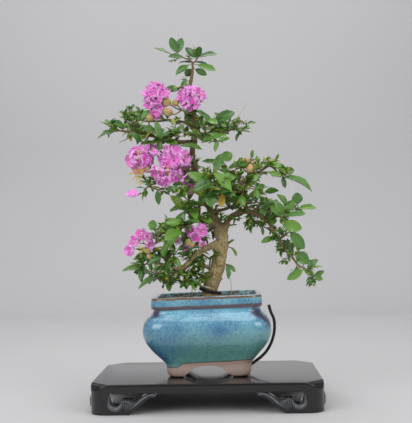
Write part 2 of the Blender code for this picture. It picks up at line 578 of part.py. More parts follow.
# Each spray is a leafy shoot: its twigs, each with a route, its pairs of leaves counted back from
# the tip, the length of the last pair, its roll and spread in degrees, and where the leaves face.
# The first twig grows from the wood, and the others from it. A twig whose last entry is a bloom's
# name is that bloom's stalk.
SPRAYS = {
    "top": (
        (((-12, -2, 391), (-14, -3, 398), (-23, -4, 402), (-35, -4, 406)), 2, 19, 90, 35, "up"),
        (((-28, -4, 403), (-29, -6, 406)), 1, 20, 0, 20, "front"),
        (((-12, -2, 395), (-8, -3, 399), (-5, -4, 402)), 1, 20, 0, 48, "up"),
        (((-12, -2, 394), (-12, -8, 393)), 1, 22, 0, 100, "up"),
        (((-13, -2, 396), (-12, 6, 399)), 1, 18, 10, 80, "up"),
    ),
    "neck": (
        (((-16, 0, 369), (-20, -6, 368), (-25, -10, 364)), 2, 16, 70, 50, "front"),
        (((-19, -5, 368), (-33, -11, 364), (-54, -14, 353)), 0, 0, 0, 0, "bloom_1"),
    ),
    "shoulder": (
        (((-13, 2, 340), (-7, -6, 338), (0, -10, 335)), 1, 19, 60, 40, "up"),
        (((-8, -5, 339), (-11, -12, 341), (-14, -14, 355)), 0, 0, 0, 0, "bloom_2"),
        (((-4, -7, 337), (5, -8, 326), (13, -10, 326)), 2, 22, 80, 50, "front"),
    ),
    "tier_left_tip": (
        (((-99, -15, 316), (-104, -15, 315)), 2, 20, 90, 45, "up"),
        (((-101, -15, 315), (-108, -10, 320)), 1, 16, 20, 40, "up"),
    ),
    "tier_left_rise": (
        (((-85, -16, 315), (-79, -17, 322), (-74, -17, 328)), 2, 16, 0, 50, "up"),
        (((-80, -17, 320), (-88, -20, 325), (-92, -22, 329)), 1, 14, 60, 50, "up"),
    ),
    "tier_left_under": (
        (((-64, -18, 309), (-65, -24, 305), (-72, -28, 299)), 2, 21, 60, 70, "front"),
        (((-65, -21, 307), (-61, -28, 314), (-62, -30, 320)), 1, 13, 0, 55, "front"),
    ),
    "tier_left_inner": (
        (((-40, -14, 304), (-44, -22, 302), (-50, -30, 302)), 2, 22, 90, 75, "front"),
        (((-44, -22, 302), (-36, -30, 307), (-31, -34, 311)), 1, 15, 30, 45, "front"),
    ),
    "tier_left_back": (
        (((-73, 12, 330), (-80, 12, 334), (-90, 12, 336)), 1, 14, 45, 50, "up"),
        (((-79, 12, 334), (-86, 26, 329), (-92, 38, 328)), 2, 16, 0, 55, "back"),
    ),
    "tier_right_front": (
        (((3, -6, 312), (1, -14, 304), (-1, -22, 300)), 1, 25, 0, 85, "front"),
        (((2, -10, 308), (11, -20, 304), (17, -26, 300)), 1, 14, 45, 55, "front"),
    ),
    "tier_right_end": (
        (((33, -6, 320), (40, -9, 317), (43, -12, 312)), 1, 13, 45, 55, "up"),
        (((36, -8, 318), (26, -16, 311), (21, -20, 308)), 1, 12, 0, 55, "front"),
    ),
    "tier_right_back": (
        (((19, -8, 315), (25, 8, 322), (32, 22, 330)), 1, 15, 30, 55, "back"),
    ),
    "mid_rise": (
        (((27, -14, 247), (27, -10, 259), (27, -8, 271)), 2, 19, 0, 65, "front"),
        (((27, -10, 260), (36, -14, 268), (41, -16, 273)), 1, 14, 45, 50, "front"),
    ),
    "bud_spray": (
        (((49, -15, 255), (50, -16, 265), (48, -15, 279)), 0, 0, 0, 0, "bud_cluster"),
        (((49, -16, 264), (44, -13, 270)), 1, 13, 0, 60, "up"),
        (((49, -16, 261), (57, -24, 264), (62, -28, 261)), 1, 12, 30, 55, "front"),
    ),
    "mid_right_end": (
        (((86, -12, 263), (91, -12, 258)), 1, 29, 80, 28, "up"),
        (((89, -12, 261), (94, -14, 264)), 1, 13, 70, 45, "front"),
        (((89, -13, 260), (86, -19, 267), (77, -21, 274)), 1, 26, 90, 80, "up"),
    ),
    "mid_right_low": (
        (((42, -16, 251), (51, -24, 246), (60, -28, 244)), 1, 14, 45, 55, "front"),
        (((46, -20, 248), (44, -28, 241), (40, -32, 235)), 2, 16, 0, 60, "front"),
    ),
    "face_big": (
        (((-3, 3, 248), (1, -16, 252), (9, -30, 252), (12, -36, 253)), 1, 29, 20, 75, "front"),
        (((4, -22, 251), (10, -30, 262), (14, -34, 265)), 1, 26, 70, 60, "front"),
        (((5, -24, 251), (6, -34, 244), (11, -38, 239)), 1, 16, 15, 50, "front"),
        (((6, -27, 252), (16, -38, 247), (20, -40, 243)), 1, 21, 10, 60, "front"),
    ),
    "mid_low_front": (
        (((38, 18, 228), (42, -2, 233), (49, -16, 235)), 2, 18, 30, 60, "front"),
        (((41, 6, 231), (31, -8, 235), (28, -14, 239)), 1, 19, 0, 60, "front"),
    ),
    "mid_back_end": (
        (((55, 20, 230), (62, 20, 231), (71, 18, 229)), 1, 15, 40, 55, "up"),
        (((60, 20, 231), (65, 32, 239), (71, 42, 244)), 2, 18, 0, 55, "back"),
    ),
    "left_mid": (
        (((4, 3, 228), (-5, -14, 227), (-15, -22, 223), (-24, -26, 221)), 3, 24, 80, 55, "front"),
        (((-6, -15, 226), (-8, -22, 217), (-7, -26, 212)), 1, 18, 0, 60, "front"),
        (((-11, -18, 224), (-20, -20, 234), (-24, -22, 238)), 2, 16, 20, 55, "up"),
    ),
    "face_left_low": (
        (((-60, -26, 252), (-66, -24, 249), (-70, -22, 247)), 1, 11, 45, 50, "up"),
        (((-64, -25, 250), (-55, -32, 246), (-43, -32, 245)), 2, 18, 0, 65, "front"),
    ),
    "face_left_stalk": (
        (((-48, -26, 255), (-56, -27, 264), (-73, -26, 283)), 0, 0, 0, 0, "bloom_3"),
    ),
    "face_left_top": (
        (((-20, -14, 269), (-24, -20, 270), (-37, -28, 276)), 0, 0, 0, 0, "bloom_4"),
        (((-22, -17, 269), (-20, -28, 262), (-19, -33, 252), (-18, -35, 244)), 2, 19, 20, 60, "front"),
    ),
    "low_big_left": (
        (((-21, -26, 206), (-23, -34, 208), (-25, -38, 208)), 1, 25, 0, 85, "up"),
        (((-22, -31, 207), (-26, -40, 201), (-27, -42, 197)), 1, 31, 90, 55, "front"),
        (((-22, -29, 206), (-17, -33, 203), (-9, -30, 195)), 0, 0, 0, 0, "bloom_5"),
    ),
    "low_left_rise": (
        (((-56, -32, 185), (-56, -34, 194), (-58, -34, 201)), 1, 13, 0, 60, "front"),
        (((-56, -34, 192), (-48, -34, 196), (-42, -34, 200)), 1, 14, 30, 55, "front"),
    ),
    "low_left_bloom": (
        (((-60, -32, 183), (-64, -33, 183), (-74, -34, 185)), 0, 0, 0, 0, "bloom_6"),
        (((-62, -33, 183), (-63, -35, 179), (-67, -36, 174)), 1, 12, 60, 60, "up"),
    ),
    "low_left_tip": (
        (((-69, -22, 161), (-73, -22, 157)), 2, 20, 80, 45, "up"),
        (((-72, -22, 158), (-71, -29, 166), (-70, -34, 171)), 1, 16, 0, 60, "front"),
    ),
    "low_left_foot": (
        (((-55, 2, 146), (-59, 0, 145)), 1, 26, 80, 30, "up"),
        (((-57, 1, 145), (-50, -10, 140), (-42, -14, 138)), 1, 15, 30, 60, "front"),
        (((-56, 1, 145), (-65, 12, 150), (-74, 22, 151)), 2, 16, 0, 55, "back"),
    ),
    "low_left_front": (
        (((-44, -20, 158), (-46, -32, 165), (-50, -40, 170)), 2, 19, 45, 60, "front"),
        (((-46, -28, 163), (-36, -36, 170), (-31, -40, 177)), 2, 18, 0, 60, "front"),
    ),
    "low_inner": (
        (((-27, -9, 151), (-19, 2, 148), (-9, 6, 147)), 2, 16, 30, 60, "front"),
        (((-23, -3, 150), (-26, -14, 144), (-23, -20, 139)), 1, 15, 0, 60, "front"),
    ),
    "cascade_start": (
        (((44, 1, 219), (46, -8, 226), (50, -12, 231)), 1, 13, 0, 55, "up"),
        (((45, -5, 224), (56, -16, 223), (65, -20, 222)), 1, 14, 45, 55, "front"),
    ),
    "cascade_hang": (
        (((49, 0, 220), (54, 6, 212), (66, 8, 202), (77, 8, 199)), 3, 11, 0, 55, "up"),
    ),
    "cascade_shoulder": (
        (((73, -6, 207), (82, -16, 212), (92, -20, 213)), 3, 24, 60, 60, "front"),
        (((82, -16, 212), (91, -10, 220), (99, -8, 225), (107, -8, 226)), 1, 15, 90, 45, "front"),
    ),
    "cascade_mid": (
        (((85, -8, 186), (92, -16, 191), (96, -18, 195)), 2, 22, 90, 55, "front"),
        (((88, -13, 189), (81, -16, 188), (78, -16, 187)), 1, 15, 20, 40, "up"),
    ),
    "cascade_back": (
        (((66, -4, 213), (71, 14, 219), (80, 32, 222)), 2, 18, 0, 55, "back"),
    ),
    "cascade_low": (
        (((99, -6, 167), (103, -12, 170), (106, -14, 171)), 2, 18, 60, 60, "front"),
        (((101, -9, 168), (98, 6, 173), (97, 16, 178)), 2, 16, 0, 55, "back"),
    ),
    "cascade_tip": (
        (((114, -4, 152), (118, -4, 150)), 1, 18, 80, 70, "front"),
        (((116, -4, 151), (121, -5, 147), (126, -6, 144)), 1, 11, 80, 60, "front"),
    ),
    "sprout_high": (
        (((18, 2, 180), (27, 4, 178), (31, 5, 176)), 1, 10, 45, 50, "up"),
    ),
    "sprout_low": (
        (((17, 2, 163), (23, 5, 158), (25, 6, 155)), 1, 13, 20, 50, "front"),
    ),
    "back_crown": (
        (((-11, 2, 312), (-8, 22, 322), (-4, 38, 331)), 2, 18, 30, 55, "back"),
        (((-9, 16, 319), (-20, 30, 326), (-28, 42, 332)), 2, 16, 0, 55, "back"),
    ),
    "back_left": (
        (((-11, 2, 264), (-20, 24, 272), (-29, 46, 281)), 2, 19, 20, 55, "back"),
        (((-17, 18, 270), (-19, 38, 263), (-25, 56, 259)), 2, 18, 0, 55, "back"),
    ),
    "back_right": (
        (((14, -9, 244), (27, 14, 251), (42, 36, 258)), 2, 19, 20, 55, "back"),
        (((24, 10, 249), (24, 34, 245), (22, 54, 241)), 2, 18, 0, 55, "back"),
    ),
    "back_low": (
        (((13, 2, 204), (1, 24, 196), (-14, 46, 187)), 2, 19, 20, 55, "back"),
        (((4, 18, 199), (11, 40, 204), (19, 58, 211)), 2, 18, 0, 55, "back"),
    ),
}  # fmt: skip

# Each bloom is a head of flowers: its middle, the half sizes of its core, and its flowers, each by
# the way it looks from the middle
BLOOMS = {
    "bloom_1": ((-54, -14, 351), (5, 5, 15), ((-0.3, -0.3, 1.8), (0.8, -0.5, 0.3), (-0.8, -0.4, -0.2),
                                             (0.2, -0.4, -1.8))),
    "bloom_2": ((-14, -15, 353), (7, 4, 6), ((-0.8, -0.6, 0.1), (0.8, -0.6, 0.1), (0.0, -0.5, 1.0))),
    "bloom_3": ((-73, -26, 283), (6, 5, 5), ((-1.0, -0.4, -0.1), (0.5, -0.8, -0.2), (0.0, -0.4, 1.0),
                                             (0.2, 0.9, 0.3))),
    "bloom_4": ((-37, -28, 272), (13, 7, 14), ((-1.2, -0.4, 0.6), (1.2, -0.4, 0.6), (0.8, -0.4, -1.0),
                                               (-0.9, -0.4, -1.0), (0.1, -0.4, 1.6), (0.0, -1.0, 0.0),
                                               (0.0, 0.9, 0.2))),
    "bloom_5": ((-9, -30, 195), (4, 4, 4), ((-0.6, -0.8, 0.3), (0.7, -0.5, -0.4))),
    "bloom_6": ((-74, -34, 185), (6, 4, 4), ((-0.9, -0.4, -0.2), (0.5, -0.8, 0.1), (0.0, -0.3, 1.0))),
}  # fmt: skip
BUD_CLUSTER = ((48, -15, 279), 3.2, 2.4)  # middle, radius of the core, radius of a bud
BUDS = 4
def ball(centre, half_sizes):
    work = bmesh.new()
    bmesh.ops.create_icosphere(work, subdivisions=1, radius=1.0)
    points = [Vector(centre) + Vector([v.co[i] * half_sizes[i] for i in range(3)]) for v in work.verts]
    faces = [tuple(v.index for v in face.verts) for face in work.faces]
    work.free()
    return points, faces


def flower_shape(radius, twist, grow=0.0):
    """A cup of six crinkled petals that look along +Z, cut apart by clefts, both sides alike."""

    def place(degrees, share, crinkle=0.0, lift=0.0):
        angle = math.radians(degrees) + twist
        out = radius * share + (grow if share > 0.5 else 0.0)
        rise = FLOWER_CUP * radius * share - 0.12 * radius * share**2 + crinkle * radius
        return (out * math.cos(angle), out * math.sin(angle), rise + lift)

    rim = []
    for k in range(PETALS):
        middle = 360 / PETALS * k
        rim += [place(middle - 30, CLEFT, -0.05), place(middle - 17, 1.0, 0.09)]
        rim.append(place(middle + 17, 1.0, -0.07))
    points = list(rim)
    faces = []
    for half in (PETAL_THICKNESS / 2 + grow, -PETAL_THICKNESS / 2 - grow):
        start = len(points)
        points.append(place(0, 0.0, 0.0, half))
        points += [place(360 / PETALS * k, 0.52, 0.03, half) for k in range(PETALS)]
        for k in range(PETALS):
            rib = start + 1 + k
            following = start + 1 + (k + 1) % PETALS
            edge = [(3 * k + i) % len(rim) for i in range(4)]
            faces += [(rib, edge[i], edge[i + 1]) for i in range(3)]
            faces += [(rib, edge[3], following), (start, rib, following)]
    return points, faces


def flower_shapes(rng, centre, core, flowers, clear_of):
    """The flowers of a head. One that would cross another piece is turned or made smaller."""
    made = []
    own = []
    for planned in flowers:
        twist = rng.uniform(0, 1)
        size = FLOWER_RADIUS * rng.uniform(0.92, 1.08)
        tries = []
        for shrink in (1.0, 0.88, 0.76, 0.64):
            for tip_x, tip_z in ((0, 0), (0.3, 0), (-0.3, 0), (0, 0.3), (0, -0.3)):
                look = (Vector(planned) + Vector((tip_x, 0, tip_z))).normalized()
                reach = 1 / math.sqrt(sum((look[i] / core[i]) ** 2 for i in range(3)))
                root = Vector(centre) + look * reach * FLOWER_ROOT
                turn = look.to_track_quat("Z", "Y").to_matrix()
                fat, faces = flower_shape(size * shrink, twist, LEAF_GAP)
                trial = BVHTree.FromPolygons([root + turn @ Vector(p) for p in fat], faces)
                if any(trial.overlap(other) for other in clear_of):
                    continue
                crossings = sum(len(trial.overlap(other)) for other in own)
                tries.append((crossings + 6 * (1 - shrink), len(tries), root, turn, shrink, trial))
        if tries:
            _, _, root, turn, shrink, trial = min(tries, key=lambda found: found[:2])
            points, faces = flower_shape(size * shrink, twist)
            made.append(([root + turn @ Vector(p) for p in points], faces))
            own.append(trial)
    return made


def outside(surface, point):
    """How far a point lies outside a closed surface, or less than 0 inside it."""
    nearest, normal, _, distance = surface.find_nearest(point)
    return distance if (point - nearest).dot(normal) > 0 else -distance


def clip_route(route, surface, first):
    """The stretch of a route that lies clear of a surface, read from its start or its end."""
    fine = smooth_route(route, 0.25)
    if not first:
        fine = fine[::-1]
    last_in = 0
    for i, point in enumerate(fine):
        if outside(surface, point) < ROOT_CLEAR:
            last_in = i
        elif (point - fine[last_in]).length > 6.0:
            break
    rest = fine[last_in + 1 :]
    return rest if first else rest[::-1]


def held_clear(point, surface, gap):
    """The point, or the nearest place at least this far outside a surface."""
    nearest, normal, _, _ = surface.find_nearest(point)
    return nearest + normal * gap if outside(surface, point) < gap else point


def grow_twig(points, wood, core, earlier):
    """The route and the radii of one twig."""
    points = [Vector(p) for p in points]
    if earlier:
        best = min((p for line in earlier for p in line[2:]), key=lambda p: (p - points[0]).length)
        points[0] = best.copy()
        fine = [held_clear(p, wood, TWIG_CLEAR) for p in smooth_route(points, 0.25)]
    else:
        fine = clip_route(points, wood, True)
    if core is not None:
        fine = clip_route(fine[:: max(1, len(fine) // 8)] + [fine[-1]], core, False)
    length = sum((b - a).length for a, b in zip(fine, fine[1:]))
    count = max(2, round(length / TWIG_STEP)) + 1
    picks = sorted({round(i * (len(fine) - 1) / (count - 1)) for i in range(count)})
    if not earlier and len(fine) > 12:
        picks = sorted(set(picks) | {6})
    route = [fine[i] for i in picks]
    thick = 0.95 + 0.008 * length
    radii = []
    for i, point in enumerate(route):
        wanted = thick * (1 - 0.3 * i / (len(route) - 1))
        radii.append(min(wanted, max(0.45, outside(wood, point) - SEAT)))
    return route, radii, fine


def leaf_trials(length, roll, spread):
    """Ways to hold a leaf: as planned first, and then bent, turned and smaller."""
    for shrink in (1.0, 0.85, 0.7):
        for turn in (0, 25, -25, 50, -50):
            for open_by in (0, 16, -16, 32):
                yield length * shrink, roll + turn, spread + open_by


def place_leaves(rng, twigs, plan, clear_of, own):
    """The leaves of a spray, in pairs on both sides of each twig."""
    placed = []
    for (route, _, _), (_, pairs, size, roll, spread, face) in zip(twigs, plan):
        if not pairs:
            continue
        fine = smooth_route(route, LEAF_STEP)
        ways = directions(fine)
        for pair in range(pairs):
            at = round((len(fine) - 1 - SUNK_STEPS) * (1 - pair * 0.8 / pairs))
            at = max(at, 2)
            root = fine[at]
            way = ways[at]
            level = way.cross(Vector((0, 0, 1)))
            level = level.normalized() if level.length > 0.1 else Vector((1, 0, 0))
            pair_roll = roll + 80 * pair
            pair_spread = spread + 9 * pair
            for side in (1, -1):
                length = size * (1 - 0.07 * pair) * rng.uniform(0.93, 1.06)
                fold = rng.uniform(0.1, 0.28)
                arch = rng.uniform(0.06, 0.2)
                jitter = rng.uniform(-6, 6)
                found = None
                for own_too in (True, False):
                    for size_now, roll_now, spread_now in leaf_trials(length, pair_roll, pair_spread):
                        axis = Matrix.Rotation(math.radians(roll_now), 3, way) @ level
                        angle = math.radians(spread_now + jitter)
                        ahead = way * math.cos(angle) + axis * side * math.sin(angle)
                        facing = FACING[face] + way * 0.3
                        fat = set_at(leaf_shape(size_now, fold, arch, LEAF_GAP), root, ahead, facing)
                        if not in_tree_box(fat[0]):
                            continue
                        trial = BVHTree.FromPolygons(*fat)
                        if any(trial.overlap(other) for other in clear_of):
                            continue
                        near = [t for p, t in own if (p - root).length > 2.5]
                        if own_too and any(trial.overlap(other) for other in near):
                            continue
                        found = set_at(leaf_shape(size_now, fold, arch), root, ahead, facing)
                        own.append((root, trial))
                        break
                    if found:
                        break
                if found:
                    placed.append(found)
    return placed


def in_tree_box(points):
    for axis, (low, high) in enumerate(TREE_BOX):
        if min(p[axis] for p in points) < low or max(p[axis] for p in points) > high:
            return False
    return True


def fuse(name, shapes, finish):
    """One node from many closed shapes."""
    pieces = [solid(f"{name}_piece", points, faces, finish) for points, faces in shapes]
    host = pieces[0]
    if len(pieces) > 1:
        boolean(host, pieces[1:], "UNION")
    host.name = name
    host.data.name = name
    fill_hollows(host)
    return host


def fill_hollows(made):
    """Keeps a fused node's outer skin: hollows that the fusing sealed are filled, scraps dropped."""
    work = bmesh.new()
    work.from_mesh(made.data)
    skins = []
    left = set(work.faces)
    while left:
        skin = {left.pop()}
        edge_of = list(skin)
        while edge_of:
            face = edge_of.pop()
            for edge in face.edges:
                for other in edge.link_faces:
                    if other in left:
                        left.discard(other)
                        skin.add(other)
                        edge_of.append(other)
        size = 0.0
        for face in skin:
            a, *rest = [v.co for v in face.verts]
            size += sum(a.dot(b.cross(c)) for b, c in zip(rest, rest[1:]))
        skins.append((size, skin))
    keep = max(skins, key=lambda item: item[0])[1]
    spare = [face for face in work.faces if face not in keep]
    bmesh.ops.delete(work, geom=spare, context="FACES")
    work.to_mesh(made.data)
    work.free()


def make_tree(fixed):
    """Twigs first, then the flowers, and then the leaves in the room that is left."""
    wood = make_wood()
    wood_tree = tree_of(wood)
    cores = {name: ball(middle, core) for name, (middle, core, _) in BLOOMS.items()}
    bud_middle, bud_core, bud_radius = BUD_CLUSTER
    cores["bud_cluster"] = ball(bud_middle, (bud_core,) * 3)
    core_trees = {name: BVHTree.FromPolygons(*shape) for name, shape in cores.items()}

    twigs = {}
    twig_shapes = {}
    for name, plan in SPRAYS.items():
        grown = []
        for points, _, _, _, _, ends in plan:
            core = core_trees.get(ends)
            grown.append(grow_twig(points, wood_tree, core, [line for _, _, line in grown]))
        twigs[name] = grown
        twig_shapes[name] = [tube(route, radii, TWIG_SIDES) for route, radii, _ in grown]
    twig_trees = {
        name: [BVHTree.FromPolygons(*shape) for shape in shapes] for name, shapes in twig_shapes.items()
    }
    every_twig = [tree for trees in twig_trees.values() for tree in trees]

    rng = random.Random(LEAF_SEED)
    heads = {}
    for name, (middle, core, flowers) in BLOOMS.items():
        others = [BVHTree.FromPolygons(*s) for shapes in heads.values() for s in shapes]
        clear_of = [wood_tree, *fixed, *every_twig, *others]
        heads[name] = [cores[name]] + flower_shapes(rng, middle, core, flowers, clear_of)
    buds = [cores["bud_cluster"]]
    for k in range(BUDS):
        angle = math.tau * k / BUDS
        look = Vector((math.cos(angle), math.sin(angle), 0.5 + 0.6 * (k % 2))).normalized()
        buds.append(ball(Vector(bud_middle) + look * bud_core * 1.3, (bud_radius,) * 3))
    heads["bud_cluster"] = buds

    head_trees = [BVHTree.FromPolygons(*s) for shapes in heads.values() for s in shapes]
    leaf_trees = {}
    for name, plan in SPRAYS.items():
        clear_of = [wood_tree, *fixed, *head_trees]
        clear_of += [tree for other, trees in twig_trees.items() if other != name for tree in trees]
        clear_of += [tree for trees in leaf_trees.values() for tree in trees]
        own = []
        leaves = place_leaves(rng, twigs[name], plan, clear_of, own)
        leaf_trees[name] = [BVHTree.FromPolygons(*shape) for shape in leaves]
        fuse(f"spray_{name}", twig_shapes[name] + leaves, LEAF)
    for name, shapes in heads.items():
        fuse(name, shapes, PETAL)


make_stand_top()
for row, side_y in (("front", -1), ("back", 1)):
    for column, side_x in (("left", -1), ("right", 1)):
        make_leg(f"stand_leg_{row}_{column}", side_x, side_y)
pot_object = make_pot()
soil_object = make_soil()
make_net("drain_net_left", -1, [])
make_net("drain_net_right", 1, [solid("wire_cut", *wire_shape(SEAT), NET_PLASTIC)])
wire_object = solid("tie_wire", *wire_shape(0.0), WIRE_COAT)
make_tree([tree_of(pot_object), tree_of(soil_object), tree_of(wire_object)])
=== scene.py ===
"""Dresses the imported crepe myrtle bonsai: stand, pot, grit, tie wire, wood, leafy shoots and blooms.

Routes and sizes are those of the part, in millimetres, and become metres where a mesh is made.
X runs to the right along the stand, Y to the back, Z up, from the floor under the stand.
"""

import json
import math
import random

import bmesh
import bpy
import numpy as np
from mathutils import Matrix, Vector, noise
from mathutils.bvhtree import BVHTree

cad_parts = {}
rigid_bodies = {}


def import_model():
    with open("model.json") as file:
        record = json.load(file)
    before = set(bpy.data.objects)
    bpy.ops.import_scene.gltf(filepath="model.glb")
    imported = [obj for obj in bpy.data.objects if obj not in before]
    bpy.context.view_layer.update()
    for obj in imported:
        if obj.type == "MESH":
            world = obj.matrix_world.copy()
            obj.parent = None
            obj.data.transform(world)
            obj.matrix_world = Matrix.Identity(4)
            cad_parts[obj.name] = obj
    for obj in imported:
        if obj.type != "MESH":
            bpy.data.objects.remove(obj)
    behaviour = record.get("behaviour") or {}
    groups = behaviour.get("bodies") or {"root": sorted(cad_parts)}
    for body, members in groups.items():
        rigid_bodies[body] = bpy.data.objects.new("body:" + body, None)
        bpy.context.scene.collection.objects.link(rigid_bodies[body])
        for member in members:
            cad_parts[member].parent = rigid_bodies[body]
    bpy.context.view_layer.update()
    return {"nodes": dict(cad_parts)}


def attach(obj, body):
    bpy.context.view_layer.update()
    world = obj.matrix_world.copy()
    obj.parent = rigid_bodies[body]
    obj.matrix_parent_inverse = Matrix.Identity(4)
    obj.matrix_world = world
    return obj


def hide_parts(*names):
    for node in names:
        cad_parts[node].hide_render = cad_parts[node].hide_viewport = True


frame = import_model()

# The studio: a sweep of pale grey paper under and behind the stand, two soft boxes in front of it
# and a large one overhead. The camera stands a metre away, a little above the pot's rim.
MM = 0.001


def linear(code):
    """A hex sRGB colour as linear values."""
    values = [int(code[i : i + 2], 16) / 255 for i in (1, 3, 5)]
    return (*(v / 12.92 if v <= 0.04045 else ((v + 0.055) / 1.055) ** 2.4 for v in values), 1.0)


def fill(node, inputs):
    """Fills a node's inputs with hex colours, other values or links. A node gives its first output."""
    for key, value in inputs.items():
        if isinstance(value, bpy.types.Node):
            value = next(output for output in value.outputs if output.enabled)
        if isinstance(value, bpy.types.NodeSocket):
            node.id_data.links.new(value, node.inputs[key])
        else:
            is_colour = isinstance(value, str) and value.startswith("#")
            node.inputs[key].default_value = linear(value) if is_colour else value


def add(tree, kind, inputs=None, **settings):
    """A node with its settings and its inputs filled."""
    node = tree.nodes.new(kind)
    for key, value in settings.items():
        setattr(node, key, value)
    fill(node, inputs or {})
    return node


def start_material(name, sockets):
    """A material, its node tree and its Principled shader with constants on the shader's sockets."""
    made = bpy.data.materials.new(name)
    made.use_nodes = True
    shader = made.node_tree.nodes["Principled BSDF"]
    fill(shader, sockets)
    return made, made.node_tree, shader


def mottled(name, sockets, grain, tones, relief=None):
    """A material whose colour wanders between two tones with a noise, and its relief with it."""
    made, tree, shader = start_material(name, sockets)
    place = add(tree, "ShaderNodeTexCoord").outputs["Object"]
    cloud = add(tree, "ShaderNodeTexNoise", {"Vector": place, **grain})
    tone = add(tree, "ShaderNodeMix", {0: cloud, 6: tones[0], 7: tones[1]}, data_type="RGBA")
    fill(shader, {"Base Color": tone})
    if relief:
        fill(shader, {"Normal": add(tree, "ShaderNodeBump", {"Height": cloud, **relief})})
    return made


def place_new(name, data):
    """An object in the scene that holds the data of a mesh, a lamp or a camera."""
    made = bpy.data.objects.new(name, data)
    bpy.context.scene.collection.objects.link(made)
    return made


def put(name, points, faces, finish, smooth_angle=None):
    """A mesh object from points in millimetres. Given an angle, it is smooth where it bends less."""
    mesh = bpy.data.meshes.new(name)
    mesh.from_pydata([Vector(p) * MM for p in points], [], faces)
    work = bmesh.new()
    work.from_mesh(mesh)
    bmesh.ops.recalc_face_normals(work, faces=work.faces)
    work.to_mesh(mesh)
    work.free()
    if smooth_angle is not None:
        mesh.shade_smooth()
        mesh.set_sharp_from_angle(angle=math.radians(smooth_angle))
    mesh.materials.append(finish)
    return place_new(name, mesh)


# Seamless background paper: matt, faintly uneven in clouds about 400 mm across
PAPER_TONES = ("#c3c2c3", "#cac9ca")
paper = mottled("background_paper", {"Roughness": 0.85}, {"Scale": 2.5, "Detail": 3.0}, PAPER_TONES)

PAPER_REACH = 2600.0
SWEEP_BACK = 1500.0
SWEEP_CURVE = 450.0
SWEEP_STEPS = 12
profile = [(-PAPER_REACH, 0.0), (SWEEP_BACK - SWEEP_CURVE, 0.0)]
for step in range(1, SWEEP_STEPS + 1):
    turn = math.pi / 2 * step / SWEEP_STEPS
    back = SWEEP_BACK - SWEEP_CURVE + SWEEP_CURVE * math.sin(turn)
    profile.append((back, SWEEP_CURVE * (1 - math.cos(turn))))
profile.append((SWEEP_BACK, PAPER_REACH))
points = [(x, y, z) for y, z in profile for x in (-PAPER_REACH, PAPER_REACH)]
faces = [(2 * i, 2 * i + 1, 2 * i + 3, 2 * i + 2) for i in range(len(profile) - 1)]
sweep = put("paper_sweep", points, faces, paper, 60)

world = bpy.data.worlds.new("studio_air")
world.use_nodes = True
fill(world.node_tree.nodes["Background"], {"Color": "#e9eaee", "Strength": 0.37})
bpy.context.scene.world = world
bpy.context.scene.view_settings.view_transform = "Standard"

# Name, place, what it looks at, size, watts. The wash lights the paper behind the tree.
SOFT_BOXES = (
    ("soft_box_left", (-860, -1000, 900), (0, 0, 150), (1300, 900), 11.5),
    ("soft_box_right", (980, -820, 820), (0, 0, 150), (900, 700), 6.5),
    ("soft_box_top", (60, 80, 1500), (0, 0, 150), (1300, 1000), 8.5),
    ("backdrop_wash", (-120, 500, 1600), (-200, 1500, 450), (2000, 300), 7.4),
)
for name, where, aim, size, watts in SOFT_BOXES:
    lamp = bpy.data.lights.new(name, "AREA")
    lamp.shape = "RECTANGLE"
    lamp.size = size[0] * MM
    lamp.size_y = size[1] * MM
    lamp.energy = watts
    holder = place_new(name, lamp)
    holder.location = Vector(where) * MM
    holder.rotation_euler = (Vector(aim) - Vector(where)).to_track_quat("-Z", "Y").to_euler()

CAMERA_PLACE = (27.3, -999.2, 193.6)
CAMERA_YAW = math.radians(1.54)
CAMERA_PITCH = math.radians(1.54)
CAMERA_ROLL = math.radians(-1.0)
FOCAL_PIXELS = 850.4
IMAGE_HEIGHT = 423
SENSOR = 36.0
across = Vector((math.cos(CAMERA_YAW), math.sin(CAMERA_YAW), 0))
ahead = Vector((-math.sin(CAMERA_YAW), math.cos(CAMERA_YAW), 0))
level = Vector((0, 0, 1))
looking = ahead * math.cos(CAMERA_PITCH) + level * math.sin(CAMERA_PITCH)
upward = level * math.cos(CAMERA_PITCH) - ahead * math.sin(CAMERA_PITCH)
right = across * math.cos(CAMERA_ROLL) + upward * math.sin(CAMERA_ROLL)
upward = upward * math.cos(CAMERA_ROLL) - across * math.sin(CAMERA_ROLL)
turned = Matrix((right, upward, -looking)).transposed().to_4x4()
camera = place_new("camera", bpy.data.cameras.new("camera"))
camera.matrix_world = Matrix.Translation(Vector(CAMERA_PLACE) * MM) @ turned
camera.data.sensor_width = SENSOR
camera.data.lens = FOCAL_PIXELS / IMAGE_HEIGHT * SENSOR
bpy.context.scene.camera = camera


# The display stand: a hardwood board with cut corners on four legs, each a front and a side panel
# carved with a scroll, all under several coats of black lacquer rubbed to a gloss.
STAND_WIDTH = 255.0
STAND_DEPTH = 160.0
STAND_HEIGHT = 33.0
BOARD_THICKNESS = 9.5
CORNER_CUT = 10.0
CORNER_CUT_TOP = 18.5
PANEL_THICKNESS = 9.0
SIDE_PANEL_SCALE = 0.84

